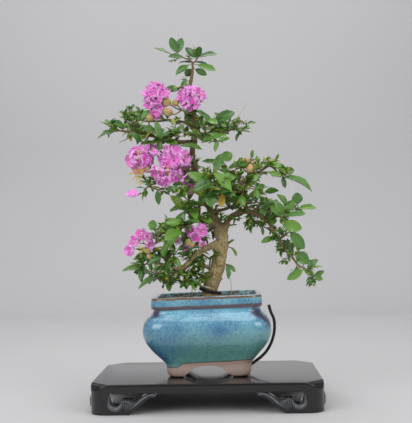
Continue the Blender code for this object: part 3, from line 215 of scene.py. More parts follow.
# Rubbed lacquer: nearly black, glossy, with faint brushed waves left by rubbing along the board. They
# are drawn about 1 mm apart, coarser than real ones, so that they show. Dust lies in 20 mm clouds.
lacquer, tree, shader = start_material(
    "black_lacquer", {"IOR": 1.5, "Coat Weight": 0.3, "Coat Roughness": 0.08}
)
place = add(tree, "ShaderNodeTexCoord").outputs["Object"]
long_way = add(tree, "ShaderNodeMapping", {"Vector": place, "Scale": (0.12, 1.0, 1.0)})
rub = add(tree, "ShaderNodeTexNoise", {"Vector": long_way, "Scale": 900.0, "Detail": 4.0})
dust = add(tree, "ShaderNodeTexNoise", {"Vector": place, "Scale": 45.0, "Detail": 5.0})
fill(shader, {
    "Base Color": add(tree, "ShaderNodeMix", {0: dust, 6: "#08080a", 7: "#121316"}, data_type="RGBA"),
    "Roughness": add(tree, "ShaderNodeMapRange", {"Value": rub, "To Min": 0.1, "To Max": 0.2}),
    "Normal": add(tree, "ShaderNodeBump", {"Height": rub, "Strength": 0.06, "Distance": 0.0002}),
})


def loft(rings):
    """Points and faces of a closed skin over rings with the same number of points."""
    count = len(rings[0])
    skin = []
    for i in range(len(rings) - 1):
        for k in range(count):
            a = i * count + k
            b = i * count + (k + 1) % count
            skin.append((a, b, b + count, a + count))
    skin.append(tuple(range(count)))
    skin.append(tuple(range((len(rings) - 1) * count, len(rings) * count)))
    return [p for ring in rings for p in ring], skin


def smooth_route(given, step):
    """Points about a step apart on the Catmull-Rom curve through the given points."""
    given = [Vector(p) for p in given]
    ends = [2 * given[0] - given[1]] + given + [2 * given[-1] - given[-2]]
    route = []
    for a, b, c, d in zip(ends, ends[1:], ends[2:], ends[3:]):
        count = max(1, round((c - b).length / step))
        for i in range(count):
            t = i / count
            twice = 2 * b + (c - a) * t + (2 * a - 5 * b + 4 * c - d) * t**2 + (3 * b - a - 3 * c + d) * t**3
            route.append(0.5 * twice)
    return route + [given[-1]]


def directions(route):
    """The way that the route takes at each of its points."""
    ends = [route[0], *route, route[-1]]
    return [(after - before).normalized() for before, after in zip(ends, ends[2:])]


def taper(route, radii):
    """Radii read along the route from a few evenly spaced ones."""
    places = np.linspace(0, 1, len(radii))
    return list(np.interp(np.linspace(0, 1, len(route)), places, radii))


def joined(shapes):
    """Points and faces of several shapes as one."""
    points = []
    faces = []
    for more, skin in shapes:
        faces += [tuple(k + len(points) for k in face) for face in skin]
        points += more
    return points, faces


def take_result(piece):
    """Makes what the piece's modifiers give its plain mesh."""
    graph = bpy.context.evaluated_depsgraph_get()
    result = bpy.data.meshes.new_from_object(piece.evaluated_get(graph))
    piece.modifiers.clear()
    piece.data = result
    result.name = piece.name


ROUNDING_SEGMENTS = 3
STAYS_SHARP = 38  # degrees


def finish_edges(piece, width, angle):
    """Rounds a hard-edged piece with a bevel and makes the result its plain mesh."""
    soften = piece.modifiers.new("soften", "BEVEL")
    soften.width = width * MM
    soften.segments = ROUNDING_SEGMENTS
    soften.limit_method = "ANGLE"
    soften.angle_limit = math.radians(angle)
    take_result(piece)
    piece.data.shade_smooth()
    piece.data.set_sharp_from_angle(angle=math.radians(STAYS_SHARP))
    # Large faces keep their own direction right up to the rounding
    even = piece.modifiers.new("even_faces", "WEIGHTED_NORMAL")
    even.weight = 100
    even.keep_sharp = True
    take_result(piece)


def boolean(host, others, operation):
    """One exact Boolean of the host with all the others, applied. The others are removed."""
    group = bpy.data.collections.new("operands")
    bpy.context.scene.collection.children.link(group)
    for other in others:
        bpy.context.scene.collection.objects.unlink(other)
        group.objects.link(other)
    step = host.modifiers.new("join", "BOOLEAN")
    step.operation = operation
    step.solver = "EXACT"
    step.operand_type = "COLLECTION"
    step.collection = group
    take_result(host)
    for other in others:
        bpy.data.objects.remove(other)
    bpy.data.collections.remove(group)


def seat(piece, slot, *nodes):
    """The piece rides on the one body and stands for CAD nodes, which it hides. Its slot is not used."""
    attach(piece, "root")
    if nodes:
        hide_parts(*nodes)


EASING_LOW = 6.8
EASING_HIGH = 1.8
EASING_STEPS = 5


def corner_cut_ring(inset, cut, z, easing):
    """The stand's plan at a height: its corners are cut, and both ends of each cut are eased."""
    half_x = STAND_WIDTH / 2 - inset
    half_y = STAND_DEPTH / 2 - inset
    corners = []
    for sx, sy in ((1, 1), (-1, 1), (-1, -1), (1, -1)):
        ends = [Vector((sx * half_x, sy * (half_y - cut), z)), Vector((sx * (half_x - cut), sy * half_y, z))]
        corners += ends if sx * sy > 0 else ends[::-1]
    eased = []
    for before, corner, after in zip(corners[-1:] + corners, corners, corners[1:] + corners[:1]):
        start = corner + (before - corner).normalized() * easing
        end = corner + (after - corner).normalized() * easing
        for i in range(EASING_STEPS + 1):
            t = i / EASING_STEPS
            eased.append(start * (1 - t) ** 2 + corner * 2 * t * (1 - t) + end * t**2)
    return eased


rings = []
BOARD_STEPS = 10
ARRIS_STEPS = 4
ARRIS = 1.0
for i in range(BOARD_STEPS + ARRIS_STEPS + 1):
    # The arris between the sides and the top is rounded over the last rings
    turn = math.pi / 2 * max(0, i - BOARD_STEPS) / ARRIS_STEPS
    rise = min(1.0, i / BOARD_STEPS)
    grown = 1 - math.sqrt(1 - rise**2)
    cut = CORNER_CUT + (CORNER_CUT_TOP - CORNER_CUT) * grown
    z = STAND_HEIGHT - ARRIS - (BOARD_THICKNESS - ARRIS) * (1 - rise) + ARRIS * math.sin(turn)
    easing = EASING_LOW + (EASING_HIGH - EASING_LOW) * math.sqrt(rise)
    rings.append(corner_cut_ring(ARRIS * (1 - math.cos(turn)), cut, z, easing))
seat(put("stand_board", *loft(rings), lacquer, 40), "black_lacquer", "stand_top")

# A leg panel's outline, measured inwards from the outer edge and up: the foot, the underside of
# the scroll's arm, and back over the arm, the knot and the ring to the window's outer edge
ARM_UNDERSIDE = ((43, 0), (49, 4.5), (56, 9.6), (61, 14.4), (66, 17.6), (70, 18.6), (73, 20), (72.6, 22.4))
ARM_TOP = ((68, 23.2), (63, 22.6), (57.5, 20), (51, 15.2), (48, 15.6), (44, 17), (38, 17.2), (35.8, 16.4),
           (34.7, 13.8), (32.5, 11.6), (29.7, 10.8), (26.8, 12), (25, 15), (23.4, 20))
PANEL_TOP = 24.6  # let into the board
PANEL_INSET = 0.06  # behind the board's face, too little to see
WINDOW_EDGE = 22.6
FOOT_ROUNDING = 4.5
FOOT_STEPS = 6
POST_WIDTH = 20.0
POST_SPAN = (1.0, 22.0)
PLAN_SPAN = (-5.0, STAND_HEIGHT)
LEG_ROUNDING = 0.55


def panel_outline():
    """The outline with its foot rounded and the arm smoothed."""
    outline = [(0, PANEL_TOP)]
    for i in range(FOOT_STEPS + 1):
        turn = math.pi / 2 * i / FOOT_STEPS
        outline.append((FOOT_ROUNDING * (1 - math.cos(turn)), FOOT_ROUNDING * (1 - math.sin(turn))))
    for stretch in (ARM_UNDERSIDE, ARM_TOP):
        outline += [tuple(p)[:2] for p in smooth_route([(u, v, 0) for u, v in stretch], 1.2)]
    return [*outline, (WINDOW_EDGE, PANEL_TOP)]


def make_leg(name, side_x, side_y):
    """A leg: a front and a side panel with a post in their corner, trimmed to the stand's plan."""
    outline = panel_outline()
    x_out = side_x * STAND_WIDTH / 2
    y_out = side_y * STAND_DEPTH / 2
    front = [[(side_x * (STAND_WIDTH / 2 - u), y, v) for u, v in outline]
             for y in (y_out, y_out - side_y * PANEL_THICKNESS)]
    side = [[(x, side_y * (STAND_DEPTH / 2 - u * SIDE_PANEL_SCALE), v) for u, v in outline]
            for x in (x_out, x_out - side_x * PANEL_THICKNESS)]
    square = ((0, 0), (POST_WIDTH, 0), (POST_WIDTH, POST_WIDTH), (0, POST_WIDTH))
    post = [[(x_out - side_x * a, y_out - side_y * b, z) for a, b in square] for z in POST_SPAN]
    plan = [corner_cut_ring(PANEL_INSET, CORNER_CUT, z, EASING_LOW) for z in PLAN_SPAN]
    leg = put(name, *loft(front), lacquer)
    boolean(leg, [put("side", *loft(side), lacquer), put("post", *loft(post), lacquer)], "UNION")
    boolean(leg, [put("plan", *loft(plan), lacquer)], "INTERSECT")
    finish_edges(leg, width=LEG_ROUNDING, angle=40)
    return leg


# Carved strokes in relief on each panel, as (route, half widths), in the outline's two measures: the
# arm's rib and the bud at its end, the lip round the window, and the folds of the knot
CARVING = (
    (((45, 6.5), (50, 10.5), (55, 14.6), (60, 18.4), (65, 20.8), (68, 21.2)), (0.6, 1.3, 1.6, 1.5, 1.2, 0.7)),
    (((66.2, 21.2), (68.4, 21.5), (70.6, 21.0), (72.2, 20.2)), (0.8, 1.5, 1.5, 0.6)),
    (((22.2, 20.5), (21.6, 15), (21.9, 10.6), (24, 7.6), (27.5, 6.4), (31, 6.8), (34, 9.2), (35.6, 12.6),
      (36.2, 15.8)), (0.4, 0.9, 1.7, 2.4, 2.8, 2.7, 2.2, 1.6, 0.7)),
    (((37.6, 16.2), (38.0, 11.6), (37.2, 6.6)), (0.5, 1.1, 0.4)),
    (((40.0, 16.4), (40.3, 11.6), (38.9, 5.6)), (0.5, 1.2, 0.4)),
    (((43.0, 16.0), (42.8, 11.2), (40.6, 5.0)), (0.5, 1.2, 0.4)),
    (((46.0, 15.2), (45.2, 10.8), (42.4, 4.8)), (0.5, 1.2, 0.4)),
    (((49.4, 14.0), (47.6, 11.0), (44.6, 7.4)), (0.4, 0.9, 0.4)),
    (((37.4, 15.8), (40.5, 14.6), (44.5, 13.0), (48.5, 11.4)), (0.4, 0.8, 0.8, 0.3)),
)
CARVING_RISE = 1.9
CARVING_SINK = 0.6
CARVING_NARROW = 1.2  # a stroke with a smaller half width rises less
DOME_STEPS = 6

# Lacquer on the carving's raised strokes, grey in spots of 4 mm: worn where hands and cloths rub it, and
# painted highlight that makes the strokes show
worn_lacquer = mottled(
    "worn_lacquer", {"IOR": 1.52, "Roughness": 0.3}, {"Scale": 260.0, "Detail": 4.0}, ("#2b2d30", "#74777c")
)


def relief_stroke(stroke, widths, place_on_panel):
    """A closed strip along a stroke, domed outwards from the panel and sunk a little into it."""
    line = smooth_route([(u, v, 0) for u, v in stroke], 0.9)
    rings = []
    for spot, way, half in zip(line, directions(line), taper(line, widths)):
        aside = Vector((-way.y, way.x, 0))
        ring = []
        for k in range(DOME_STEPS + 1):
            t = 2 * k / DOME_STEPS - 1
            rise = CARVING_RISE * min(1.0, half / CARVING_NARROW) * (1 - t * t)
            ring.append(place_on_panel(spot + aside * half * t, rise))
        ring.append(place_on_panel(spot + aside * half, -CARVING_SINK))
        ring.append(place_on_panel(spot - aside * half, -CARVING_SINK))
        rings.append(ring)
    return loft(rings)


def make_carving(name, side_x, side_y):
    """The strokes on a leg's front and side panels, as one piece."""
    def on_front(spot, rise):
        return (side_x * (STAND_WIDTH / 2 - spot.x), side_y * (STAND_DEPTH / 2 + rise), spot.y)

    def on_side(spot, rise):
        along = side_y * (STAND_DEPTH / 2 - spot.x * SIDE_PANEL_SCALE)
        return (side_x * (STAND_WIDTH / 2 + rise), along, spot.y)

    strokes = [relief_stroke(*stroke, panel) for panel in (on_front, on_side) for stroke in CARVING]
    return put(name, *joined(strokes), worn_lacquer, 50)


for row, side_y in (("front", -1), ("back", 1)):
    for column, side_x in (("left", -1), ("right", 1)):
        corner = f"{row}_{column}"
        seat(make_leg(f"stand_leg_piece_{corner}", side_x, side_y), "black_lacquer", f"stand_leg_{corner}")
        seat(make_carving(f"stand_carving_{corner}", side_x, side_y), "black_lacquer")


# The pot: stoneware pressed in a mould, a rounded oblong with a banded rim, a belly and four feet,
# dipped in a running blue-green glaze that stops short of the feet and breaks brown at the edges.
POT_HEIGHT = 90.5
POT_BASE = STAND_HEIGHT + 0.3
FLOOR_TOP = 19.5
RIM_WARP = 1.5
ARCH_SHIFT = 1.0
SIDE_ARCH_SCALE = 0.62
DRAIN_X = 24.0
DRAIN_RADIUS = 8.0
DRAIN_SPAN = (POT_BASE + 5, POT_BASE + FLOOR_TOP + 5)  # from below the floor to above it
RIM_HALF_WIDTH = 62.7
# Height above the stand, half width, half depth, corner radius, bulge of the sides
POT_OUTSIDE = (
    (0.0, 43.5, 38.0, 11, 0.0), (1.8, 46.4, 40.4, 12.5, 0.0), (6.0, 48.0, 41.4, 13, 0.0),
    (12.0, 48.2, 41.6, 13, 0.0), (15.5, 49.6, 42.0, 13.5, 0.2), (19.5, 53.0, 43.2, 14, 0.4),
    (25.0, 58.2, 45.4, 15.5, 0.6), (32.0, 64.4, 49.0, 18, 0.8), (40.0, 69.9, 52.4, 20.5, 1.0),
    (49.0, 72.4, 54.6, 22, 1.0), (56.0, 72.0, 54.6, 22, 1.0), (62.0, 70.4, 53.2, 22, 1.0),
    (67.5, 66.2, 48.7, 20, 0.8), (71.5, 62.2, 44.7, 17, 0.6), (74.5, 60.8, 43.3, 15, 0.5),
    (77.0, 61.0, 43.5, 14, 0.5), (78.2, 63.0, 45.5, 14, 0.5), (88.3, 62.7, 45.2, 14, 0.5),
    (90.5, 61.0, 43.5, 13, 0.5),
)
POT_INSIDE = (
    (90.5, 57.6, 40.1, 11, 0.5), (88.5, 56.4, 38.9, 10, 0.5), (76.0, 55.0, 37.5, 10, 0.5),
    (66.0, 60.0, 42.5, 15, 0.8), (56.0, 66.2, 48.7, 17, 1.0), (38.0, 64.6, 46.6, 15, 0.8),
    (FLOOR_TOP, 49.0, 37.5, 11, 0.0),
)
# The arch between two feet, as half its outline: distance from the middle and height
ARCH = ((29, -2), (26.5, 1.8), (21, 5.8), (16.8, 8.8), (12.5, 11.3), (7, 12.7), (0, 13.1))
# The feet stand a little to the right of the belly's middle
FOOT_SHIFT = 1.7
FOOT_SHIFT_ENDS = 25.0
FOOT_SHIFT_OVER = 13.0
RINGS_PER_ROW = 3
CORNER_STEPS = 10
SIDE_STEPS = 12
DRAIN_STEPS = 32
CURVED = 0.75  # between straight steps and a full curve from row to row


def rounded_ring(half_x, half_y, radius, z, bulge, lean):
    """A rounded oblong whose sides swell outwards by the bulge, tilted along X by the lean."""
    ring = []
    for quarter, (sx, sy) in enumerate(((1, 1), (-1, 1), (-1, -1), (1, -1))):
        for i in range(CORNER_STEPS + 1):
            angle = math.pi / 2 * (quarter + i / CORNER_STEPS)
            ring.append((sx * (half_x - radius) + radius * math.cos(angle),
                         sy * (half_y - radius) + radius * math.sin(angle)))
        end = ring[-1]
        nx, ny = ((-1, 1), (-1, -1), (1, -1), (1, 1))[quarter]
        turn = math.pi / 2 * (quarter + 1)
        start = (nx * (half_x - radius) + radius * math.cos(turn),
                 ny * (half_y - radius) + radius * math.sin(turn))
        for i in range(1, SIDE_STEPS):
            t = i / SIDE_STEPS
            ring.append((end[0] + (start[0] - end[0]) * t, end[1] + (start[1] - end[1]) * t))
    swollen = []
    for x, y in ring:
        along = math.cos(math.pi / 2 * min(1, abs(x) / half_x))
        beside = math.cos(math.pi / 2 * min(1, abs(y) / half_y))
        grow_y = math.copysign(bulge * along, y) if abs(y) > half_y - radius else 0
        grow_x = math.copysign(bulge * beside, x) if abs(x) > half_x - radius else 0
        swollen.append((x + grow_x, y + grow_y, z + lean * x / half_x))
    return swollen


def pot_rings(profile):
    """Rings read between the profile's rows, so that the wall bends smoothly."""
    rows = [np.array(row) for row in profile]
    ends = [2 * rows[0] - rows[1]] + rows + [2 * rows[-1] - rows[-2]]
    read = []
    for a, b, c, d in zip(ends, ends[1:], ends[2:], ends[3:]):
        for i in range(RINGS_PER_ROW):
            t = i / RINGS_PER_ROW
            bend = (c - a) * t + (2 * a - 5 * b + 4 * c - d) * t**2 + (3 * b - a - 3 * c + d) * t**3
            straight = (c - b) * t
            read.append(b + bend * 0.5 * CURVED + straight * (1 - CURVED))
    read.append(rows[-1])
    rings = []
    for z, half_width, half_depth, radius, bulge in read:
        lean = RIM_WARP * max(0.0, z / POT_HEIGHT) ** 2 if z > FLOOR_TOP else 0.0
        aside = FOOT_SHIFT * min(1.0, max(0.0, (FOOT_SHIFT_ENDS - z) / FOOT_SHIFT_OVER))
        ring = rounded_ring(half_width, half_depth, radius, POT_BASE + z, bulge, lean)
        rings.append([(x + aside, y, up) for x, y, up in ring])
    return rings


def arch_cutter(scale, centre, axis):
    """A bar with the arch's outline, right through the foot ring along an axis."""
    half = smooth_route([(u * scale, v + POT_BASE, 0) for u, v in ARCH], 1.0)
    outline = [(centre + p.x, p.y) for p in half] + [(centre - p.x, p.y) for p in reversed(half[:-1])]
    ends = (-POT_HEIGHT, POT_HEIGHT)
    rings = [[(a, end, b) if axis == "Y" else (end, a, b) for a, b in outline] for end in ends]
    return put("arch", *loft(rings), glaze)


def lay(tree, base, coat, value, low, high, strength=1.0):
    """The base's colour under the coat's, which grows as a value goes from low to high."""
    mask = add(tree, "ShaderNodeMapRange",
               {"Value": value, "From Min": low, "From Max": high, "To Max": strength})
    return add(tree, "ShaderNodeMix", {0: mask, 6: base, 7: coat}, data_type="RGBA")


def set_stops(ramp, stops):
    """Sets a colour ramp's stops, each a place along it and a hex colour."""
    elements = ramp.color_ramp.elements
    while len(elements) < len(stops):
        elements.new(0.5)
    for stop, (share, code) in zip(elements, stops):
        stop.position = share
        stop.color = linear(code)


# Running celadon and rutile glaze on stoneware: turquoise where it is thin on the shoulder, made paler there
# by painted light from above, deep blue and violet where it pools at the corners, iron brown along the edges,
# bare clay on the feet
glaze, tree, shader = start_material(
    "blue_green_glaze", {"IOR": 1.5, "Coat Weight": 0.8, "Coat Roughness": 0.08}
)
coordinates = add(tree, "ShaderNodeTexCoord")
IN_MM = (1000, 1000, 1000)
place = add(tree, "ShaderNodeMapping", {"Vector": coordinates.outputs["Object"], "Scale": IN_MM})
x_mm, _, z_mm = add(tree, "ShaderNodeSeparateXYZ", {0: place}).outputs
# Edges wander over 20 mm, mottles are 6 mm, runs 2.4 mm wide, fine breaks 1.8 mm and specks 1.2 mm
wander = add(tree, "ShaderNodeTexNoise", {"Vector": place, "Scale": 0.05, "Detail": 4.0})
mottle = add(tree, "ShaderNodeTexNoise", {"Vector": place, "Scale": 0.16, "Detail": 6.0, "Roughness": 0.62})
downwards = add(tree, "ShaderNodeMapping", {"Vector": place, "Scale": (1.0, 1.0, 0.3)})
streaks = add(tree, "ShaderNodeTexNoise", {"Vector": downwards, "Scale": 0.42, "Detail": 3.0})
speckle = add(tree, "ShaderNodeTexNoise", {"Vector": place, "Scale": 0.8, "Detail": 2.0, "Roughness": 0.7})
fine = add(tree, "ShaderNodeTexNoise", {"Vector": place, "Scale": 0.55, "Detail": 4.0, "Roughness": 0.85})

# Colour by height: greener and darker low down, palest on the shoulder and lip, which face up; the glaze's
# own change of colour with painted light from above laid into it
height = add(tree, "ShaderNodeMapRange", {"Value": z_mm, "From Min": 46.0, "From Max": 124.0})
shade = add(tree, "ShaderNodeValToRGB", {"Fac": height})
set_stops(shade, (
    (0.0, "#64998f"), (0.24, "#659a93"), (0.42, "#689fa2"), (0.6, "#74b1c3"), (0.8, "#86cbe2"),
    (0.845, "#6da9b8"), (0.965, "#7fbac8"), (1.0, "#98d8ea"),
))


def stain(shade, spots, spread, weight, grain, low, high, code):
    """The shade with stains of one colour laid on it. A stain has a centre, a reach and a strength."""
    for centre, reach, strength in spots:
        apart = add(tree, "ShaderNodeVectorMath", {0: place, 1: centre}, operation="DISTANCE")
        near = add(tree, "ShaderNodeMapRange",
                   {"Value": apart, "From Min": reach * spread, "From Max": 0.0, "To Max": weight})
        both = add(tree, "ShaderNodeMath", {0: near, 1: grain}, operation="ADD")
        shade = lay(tree, shade, code, both, low, high, strength)
    return shade


# Where the glaze pooled blue: down the left end, on the right shoulder, and in a few clouds
clouded = add(tree, "ShaderNodeMath", {0: mottle, 1: 0.5, 2: fine}, operation="MULTIPLY_ADD")
BLUE_POOLS = (
    ((-68, -32, 92), 34, 0.8), ((-56, -38, 60), 24, 0.9), ((-42, -50, 78), 30, 0.5),
    ((-34, -54, 92), 18, 0.45), ((12, -56, 90), 22, 0.6), ((30, -56, 94), 13, 0.4),
    ((60, -44, 100), 19, 0.65), ((-4, -46, 118), 28, 0.6), ((40, -46, 118), 20, 0.55),
    ((-52, -44, 118), 18, 0.5), ((16, -56, 87), 9, 0.8), ((-20, -55, 69), 6, 0.7),
    ((66, 30, 84), 24, 0.7), ((-20, 55, 82), 30, 0.6), ((-66, 20, 86), 30, 0.7), ((40, 50, 100), 20, 0.6),
)
shade = stain(shade, BLUE_POOLS, 1.3, 0.6, clouded, 0.88, 1.3, "#336b9c")

# Dark specks, and paler runs down the wall
shade = lay(tree, shade, "#27497c", speckle, 0.58, 0.64, 0.85)
shade = lay(tree, shade, "#8fc3c8", streaks, 0.5, 0.75, 0.18)

# Iron spots, where the glaze broke violet brown at the corners of the shoulder
IRON_SPOTS = (
    ((57, -40, 103), 9.5), ((64, -38, 95), 10.0), ((-58, -40, 106), 8.0), ((-66, -34, 90), 9.5),
    ((-58, -36, 66), 7.0), ((-66, -20, 76), 8.0), ((-50, 46, 92), 9.0), ((58, 40, 75), 8.0),
)
spots = [(*spot, 0.95) for spot in IRON_SPOTS]
shade = stain(shade, spots, 1.5, 1.0, mottle, 0.74, 1.08, "#40304c")

# Iron brown lines along the rim's two outer edges, which lean with the rim. A face looks outwards
# where its normal times its place, in millimetres, is large, and inwards where it is small.
LOOKS_OUT = 12.0
LOOKS_IN = 6.0
NECK = POT_BASE + 70.0  # the pot's inside shows only above this
lean = add(tree, "ShaderNodeMath", {0: x_mm, 1: -RIM_WARP / RIM_HALF_WIDTH, 2: z_mm},
           operation="MULTIPLY_ADD")
wobble = add(tree, "ShaderNodeMath", {0: wander, 1: 3.0, 2: lean}, operation="MULTIPLY_ADD")
level_place = add(tree, "ShaderNodeVectorMath", {0: place, 1: (1, 1, 0)}, operation="MULTIPLY")
outward = add(tree, "ShaderNodeVectorMath", {0: coordinates.outputs["Normal"], 1: level_place},
              operation="DOT_PRODUCT")
facing_out = add(tree, "ShaderNodeMath", {0: outward, 1: LOOKS_OUT}, operation="GREATER_THAN")
facing_in = add(tree, "ShaderNodeMath", {0: outward, 1: LOOKS_IN}, operation="LESS_THAN")
on_rim = add(tree, "ShaderNodeMath", {0: z_mm, 1: NECK}, operation="GREATER_THAN")
inner = add(tree, "ShaderNodeMath", {0: facing_in, 1: on_rim}, operation="MULTIPLY")
# The inner wall above the neck: brown mottles of the glaze's own over a pale cyan that is painted light, the
# inside as lit from the left and above
inside = lay(tree, "#8fcbda", "#6a6158", mottle, 0.46, 0.6)
shade = add(tree, "ShaderNodeMix", {0: inner, 6: shade, 7: inside}, data_type="RGBA")
RIM_LINES = ((POT_BASE + 90.3, 1.6, "#76543c"), (POT_BASE + 80.3, 2.7, "#54434a"))
for line_height, half, code in RIM_LINES:
    off = add(tree, "ShaderNodeMath", {0: wobble, 1: line_height}, operation="SUBTRACT")
    off = add(tree, "ShaderNodeMath", {0: off}, operation="ABSOLUTE")
    band = add(tree, "ShaderNodeMapRange", {"Value": off, "From Min": half, "From Max": half * 0.5})
    band = add(tree, "ShaderNodeMath", {0: band, 1: facing_out}, operation="MULTIPLY")
    shade = add(tree, "ShaderNodeMix", {0: band, 6: shade, 7: code}, data_type="RGBA")

# The glaze's lower edge: a wavy brown line, lower on the left foot, with bare clay below. The clay's
# grain is a little under 1 mm, and the glaze's skin has dimples of 3 mm, as orange peel has.
GLAZE_EDGE = POT_BASE + 17.5
drip = add(tree, "ShaderNodeMapRange", {"Value": x_mm, "From Min": -28.0, "From Max": -33.0, "To Max": 4.5})
edge = add(tree, "ShaderNodeMath", {0: wander, 1: 2.5, 2: drip}, operation="MULTIPLY_ADD")
sloped = add(tree, "ShaderNodeMath", {0: x_mm, 1: -0.045, 2: z_mm}, operation="MULTIPLY_ADD")
above = add(tree, "ShaderNodeMath", {0: sloped, 1: edge}, operation="ADD")
shade = lay(tree, shade, "#5d4a40", above, GLAZE_EDGE + 2.0, GLAZE_EDGE + 0.6)
bare_clay = add(tree, "ShaderNodeMapRange",
                {"Value": above, "From Min": GLAZE_EDGE + 0.7, "From Max": GLAZE_EDGE})
clay_grain = add(tree, "ShaderNodeTexNoise", {"Vector": place, "Scale": 1.3, "Detail": 4.0})
clay = add(tree, "ShaderNodeMix", {0: clay_grain, 6: "#957f73", 7: "#c0a99b"}, data_type="RGBA")
orange_peel = add(tree, "ShaderNodeTexNoise", {"Vector": place, "Scale": 0.35, "Detail": 3.0})
fill(shader, {
    "Base Color": add(tree, "ShaderNodeMix", {0: bare_clay, 6: shade, 7: clay}, data_type="RGBA"),
    "Roughness": add(tree, "ShaderNodeMapRange", {"Value": bare_clay, "To Min": 0.2, "To Max": 0.75}),
    "Normal": add(tree, "ShaderNodeBump", {"Height": orange_peel, "Strength": 0.25, "Distance": 0.0008}),
})

pot = put("pot_body", *loft(pot_rings(POT_OUTSIDE) + pot_rings(POT_INSIDE)), glaze)
boolean(pot, [arch_cutter(1.0, ARCH_SHIFT, "Y"), arch_cutter(SIDE_ARCH_SCALE, 0.0, "X")], "DIFFERENCE")
drains = []
for side in (-1, 1):
    circle = [math.tau * k / DRAIN_STEPS for k in range(DRAIN_STEPS)]
    rings = [[(side * DRAIN_X + DRAIN_RADIUS * math.cos(angle), DRAIN_RADIUS * math.sin(angle), z)
              for angle in circle] for z in DRAIN_SPAN]
    drains.append(put("drain", *loft(rings), glaze))
boolean(pot, drains, "DIFFERENCE")
finish_edges(pot, width=0.8, angle=50)
seat(pot, "blue_green_glaze", "pot")


# The drain nets: two squares of dark moulded plastic that lie over the drain holes inside the pot,
# under the grit. The part's own solids are shown, in this plastic.
net_plastic = start_material("net_plastic", {"Base Color": "#26282a", "Roughness": 0.55})[0]
for net in ("drain_net_left", "drain_net_right"):
    frame["nodes"][net].material_slots[0].material = net_plastic


# The grit: graded volcanic and clay granules over finer soil, a little moss round the trunk's foot.
# The part's soil stays under it as the finer soil, and the granules lie on it.
# Fine soil: crumbs of about 1.5 mm, dark and dull
fines = mottled(
    "fine_soil", {"Roughness": 0.95}, {"Scale": 700.0, "Detail": 5.0, "Roughness": 0.7},
    ("#2b2620", "#6d6457"), {"Strength": 0.8, "Distance": 0.001},
)
soil_node = frame["nodes"]["soil"]
soil_node.material_slots[0].material = fines

# Granules: grey, dark, ochre and pale ones, by the tint of each, with pores of half a millimetre
granules, tree, shader = start_material("bonsai_grit", {"Roughness": 0.9})
kinds = add(tree, "ShaderNodeValToRGB",
            {"Fac": add(tree, "ShaderNodeAttribute", attribute_name="tint").outputs["Fac"]})
GRIT_COLOURS = ("#2f2b29", "#57504a", "#7b7168", "#6b5a44", "#9a8f80", "#c3bbab")
set_stops(kinds, [(i / (len(GRIT_COLOURS) - 1), code) for i, code in enumerate(GRIT_COLOURS)])
place = add(tree, "ShaderNodeTexCoord").outputs["Object"]
pores = add(tree, "ShaderNodeTexNoise", {"Vector": place, "Scale": 2200.0, "Detail": 4.0})
pitted = add(tree, "ShaderNodeMix", {0: 0.35, 6: kinds, 7: pores.outputs["Color"]},
             data_type="RGBA", blend_type="OVERLAY")
fill(shader, {"Base Color": pitted})

# Moss: yellowish green, soft
moss, tree, shader = start_material(
    "moss", {"Roughness": 0.8, "Subsurface Weight": 0.2, "Subsurface Radius": (0.001, 0.001, 0.0004)}
)
tint = add(tree, "ShaderNodeAttribute", attribute_name="tint").outputs["Fac"]
tone = add(tree, "ShaderNodeMix", {0: tint, 6: "#4d5a22", 7: "#9aa04a"}, data_type="RGBA")
fill(shader, {"Base Color": tone})


def give(mesh, key, kind, values):
    """Gives each point of a mesh its part of the values as an attribute."""
    field = "vector" if kind == "FLOAT_VECTOR" else "value"
    mesh.attributes.new(key, kind, "POINT").data.foreach_set(field, values)


def start_group(name, extra):
    """A Geometry Nodes group with named inputs, as its tree and the outputs that bring them in."""
    group = bpy.data.node_groups.new(name, "GeometryNodeTree")
    for socket, kind in (("Geometry", "Geometry"), *extra, ("Finish", "Material")):
        group.interface.new_socket(socket, in_out="INPUT", socket_type=f"NodeSocket{kind}")
    group.interface.new_socket("Geometry", in_out="OUTPUT", socket_type="NodeSocketGeometry")
    return group, add(group, "NodeGroupInput").outputs


def end_group(group, made, given):
    """Makes the geometry real, dresses it in the finish and gives it out."""
    real = add(group, "GeometryNodeRealizeInstances", {"Geometry": made})
    dressed = add(group, "GeometryNodeSetMaterial", {"Geometry": real, "Material": given["Finish"]})
    add(group, "NodeGroupOutput", {"Geometry": dressed})


def run_group(piece, group, **values):
    """Runs a group on a piece with values for its named inputs, and keeps the result."""
    step = piece.modifiers.new(group.name, "NODES")
    step.node_group = group
    for item in group.interface.items_tree:
        if item.in_out == "INPUT" and item.name in values:
            step[item.identifier] = values[item.name]
    take_result(piece)


form_setter, given = start_group("form_setter", (("Forms", "Collection"),))
turn, size, form = [
    add(form_setter, "GeometryNodeInputNamedAttribute", {"Name": key}, data_type=kind)
    for key, kind in (("turn", "FLOAT_VECTOR"), ("size", "FLOAT_VECTOR"), ("form", "INT"))
]
shapes = add(form_setter, "GeometryNodeCollectionInfo",
             {"Collection": given["Forms"], "Separate Children": True, "Reset Children": True})
turned = add(form_setter, "FunctionNodeEulerToRotation", {"Euler": turn})
spread = add(form_setter, "GeometryNodeInstanceOnPoints",
             {"Points": given["Geometry"], "Instance": shapes, "Pick Instance": True,
              "Instance Index": form, "Rotation": turned, "Scale": size})
end_group(form_setter, spread, given)


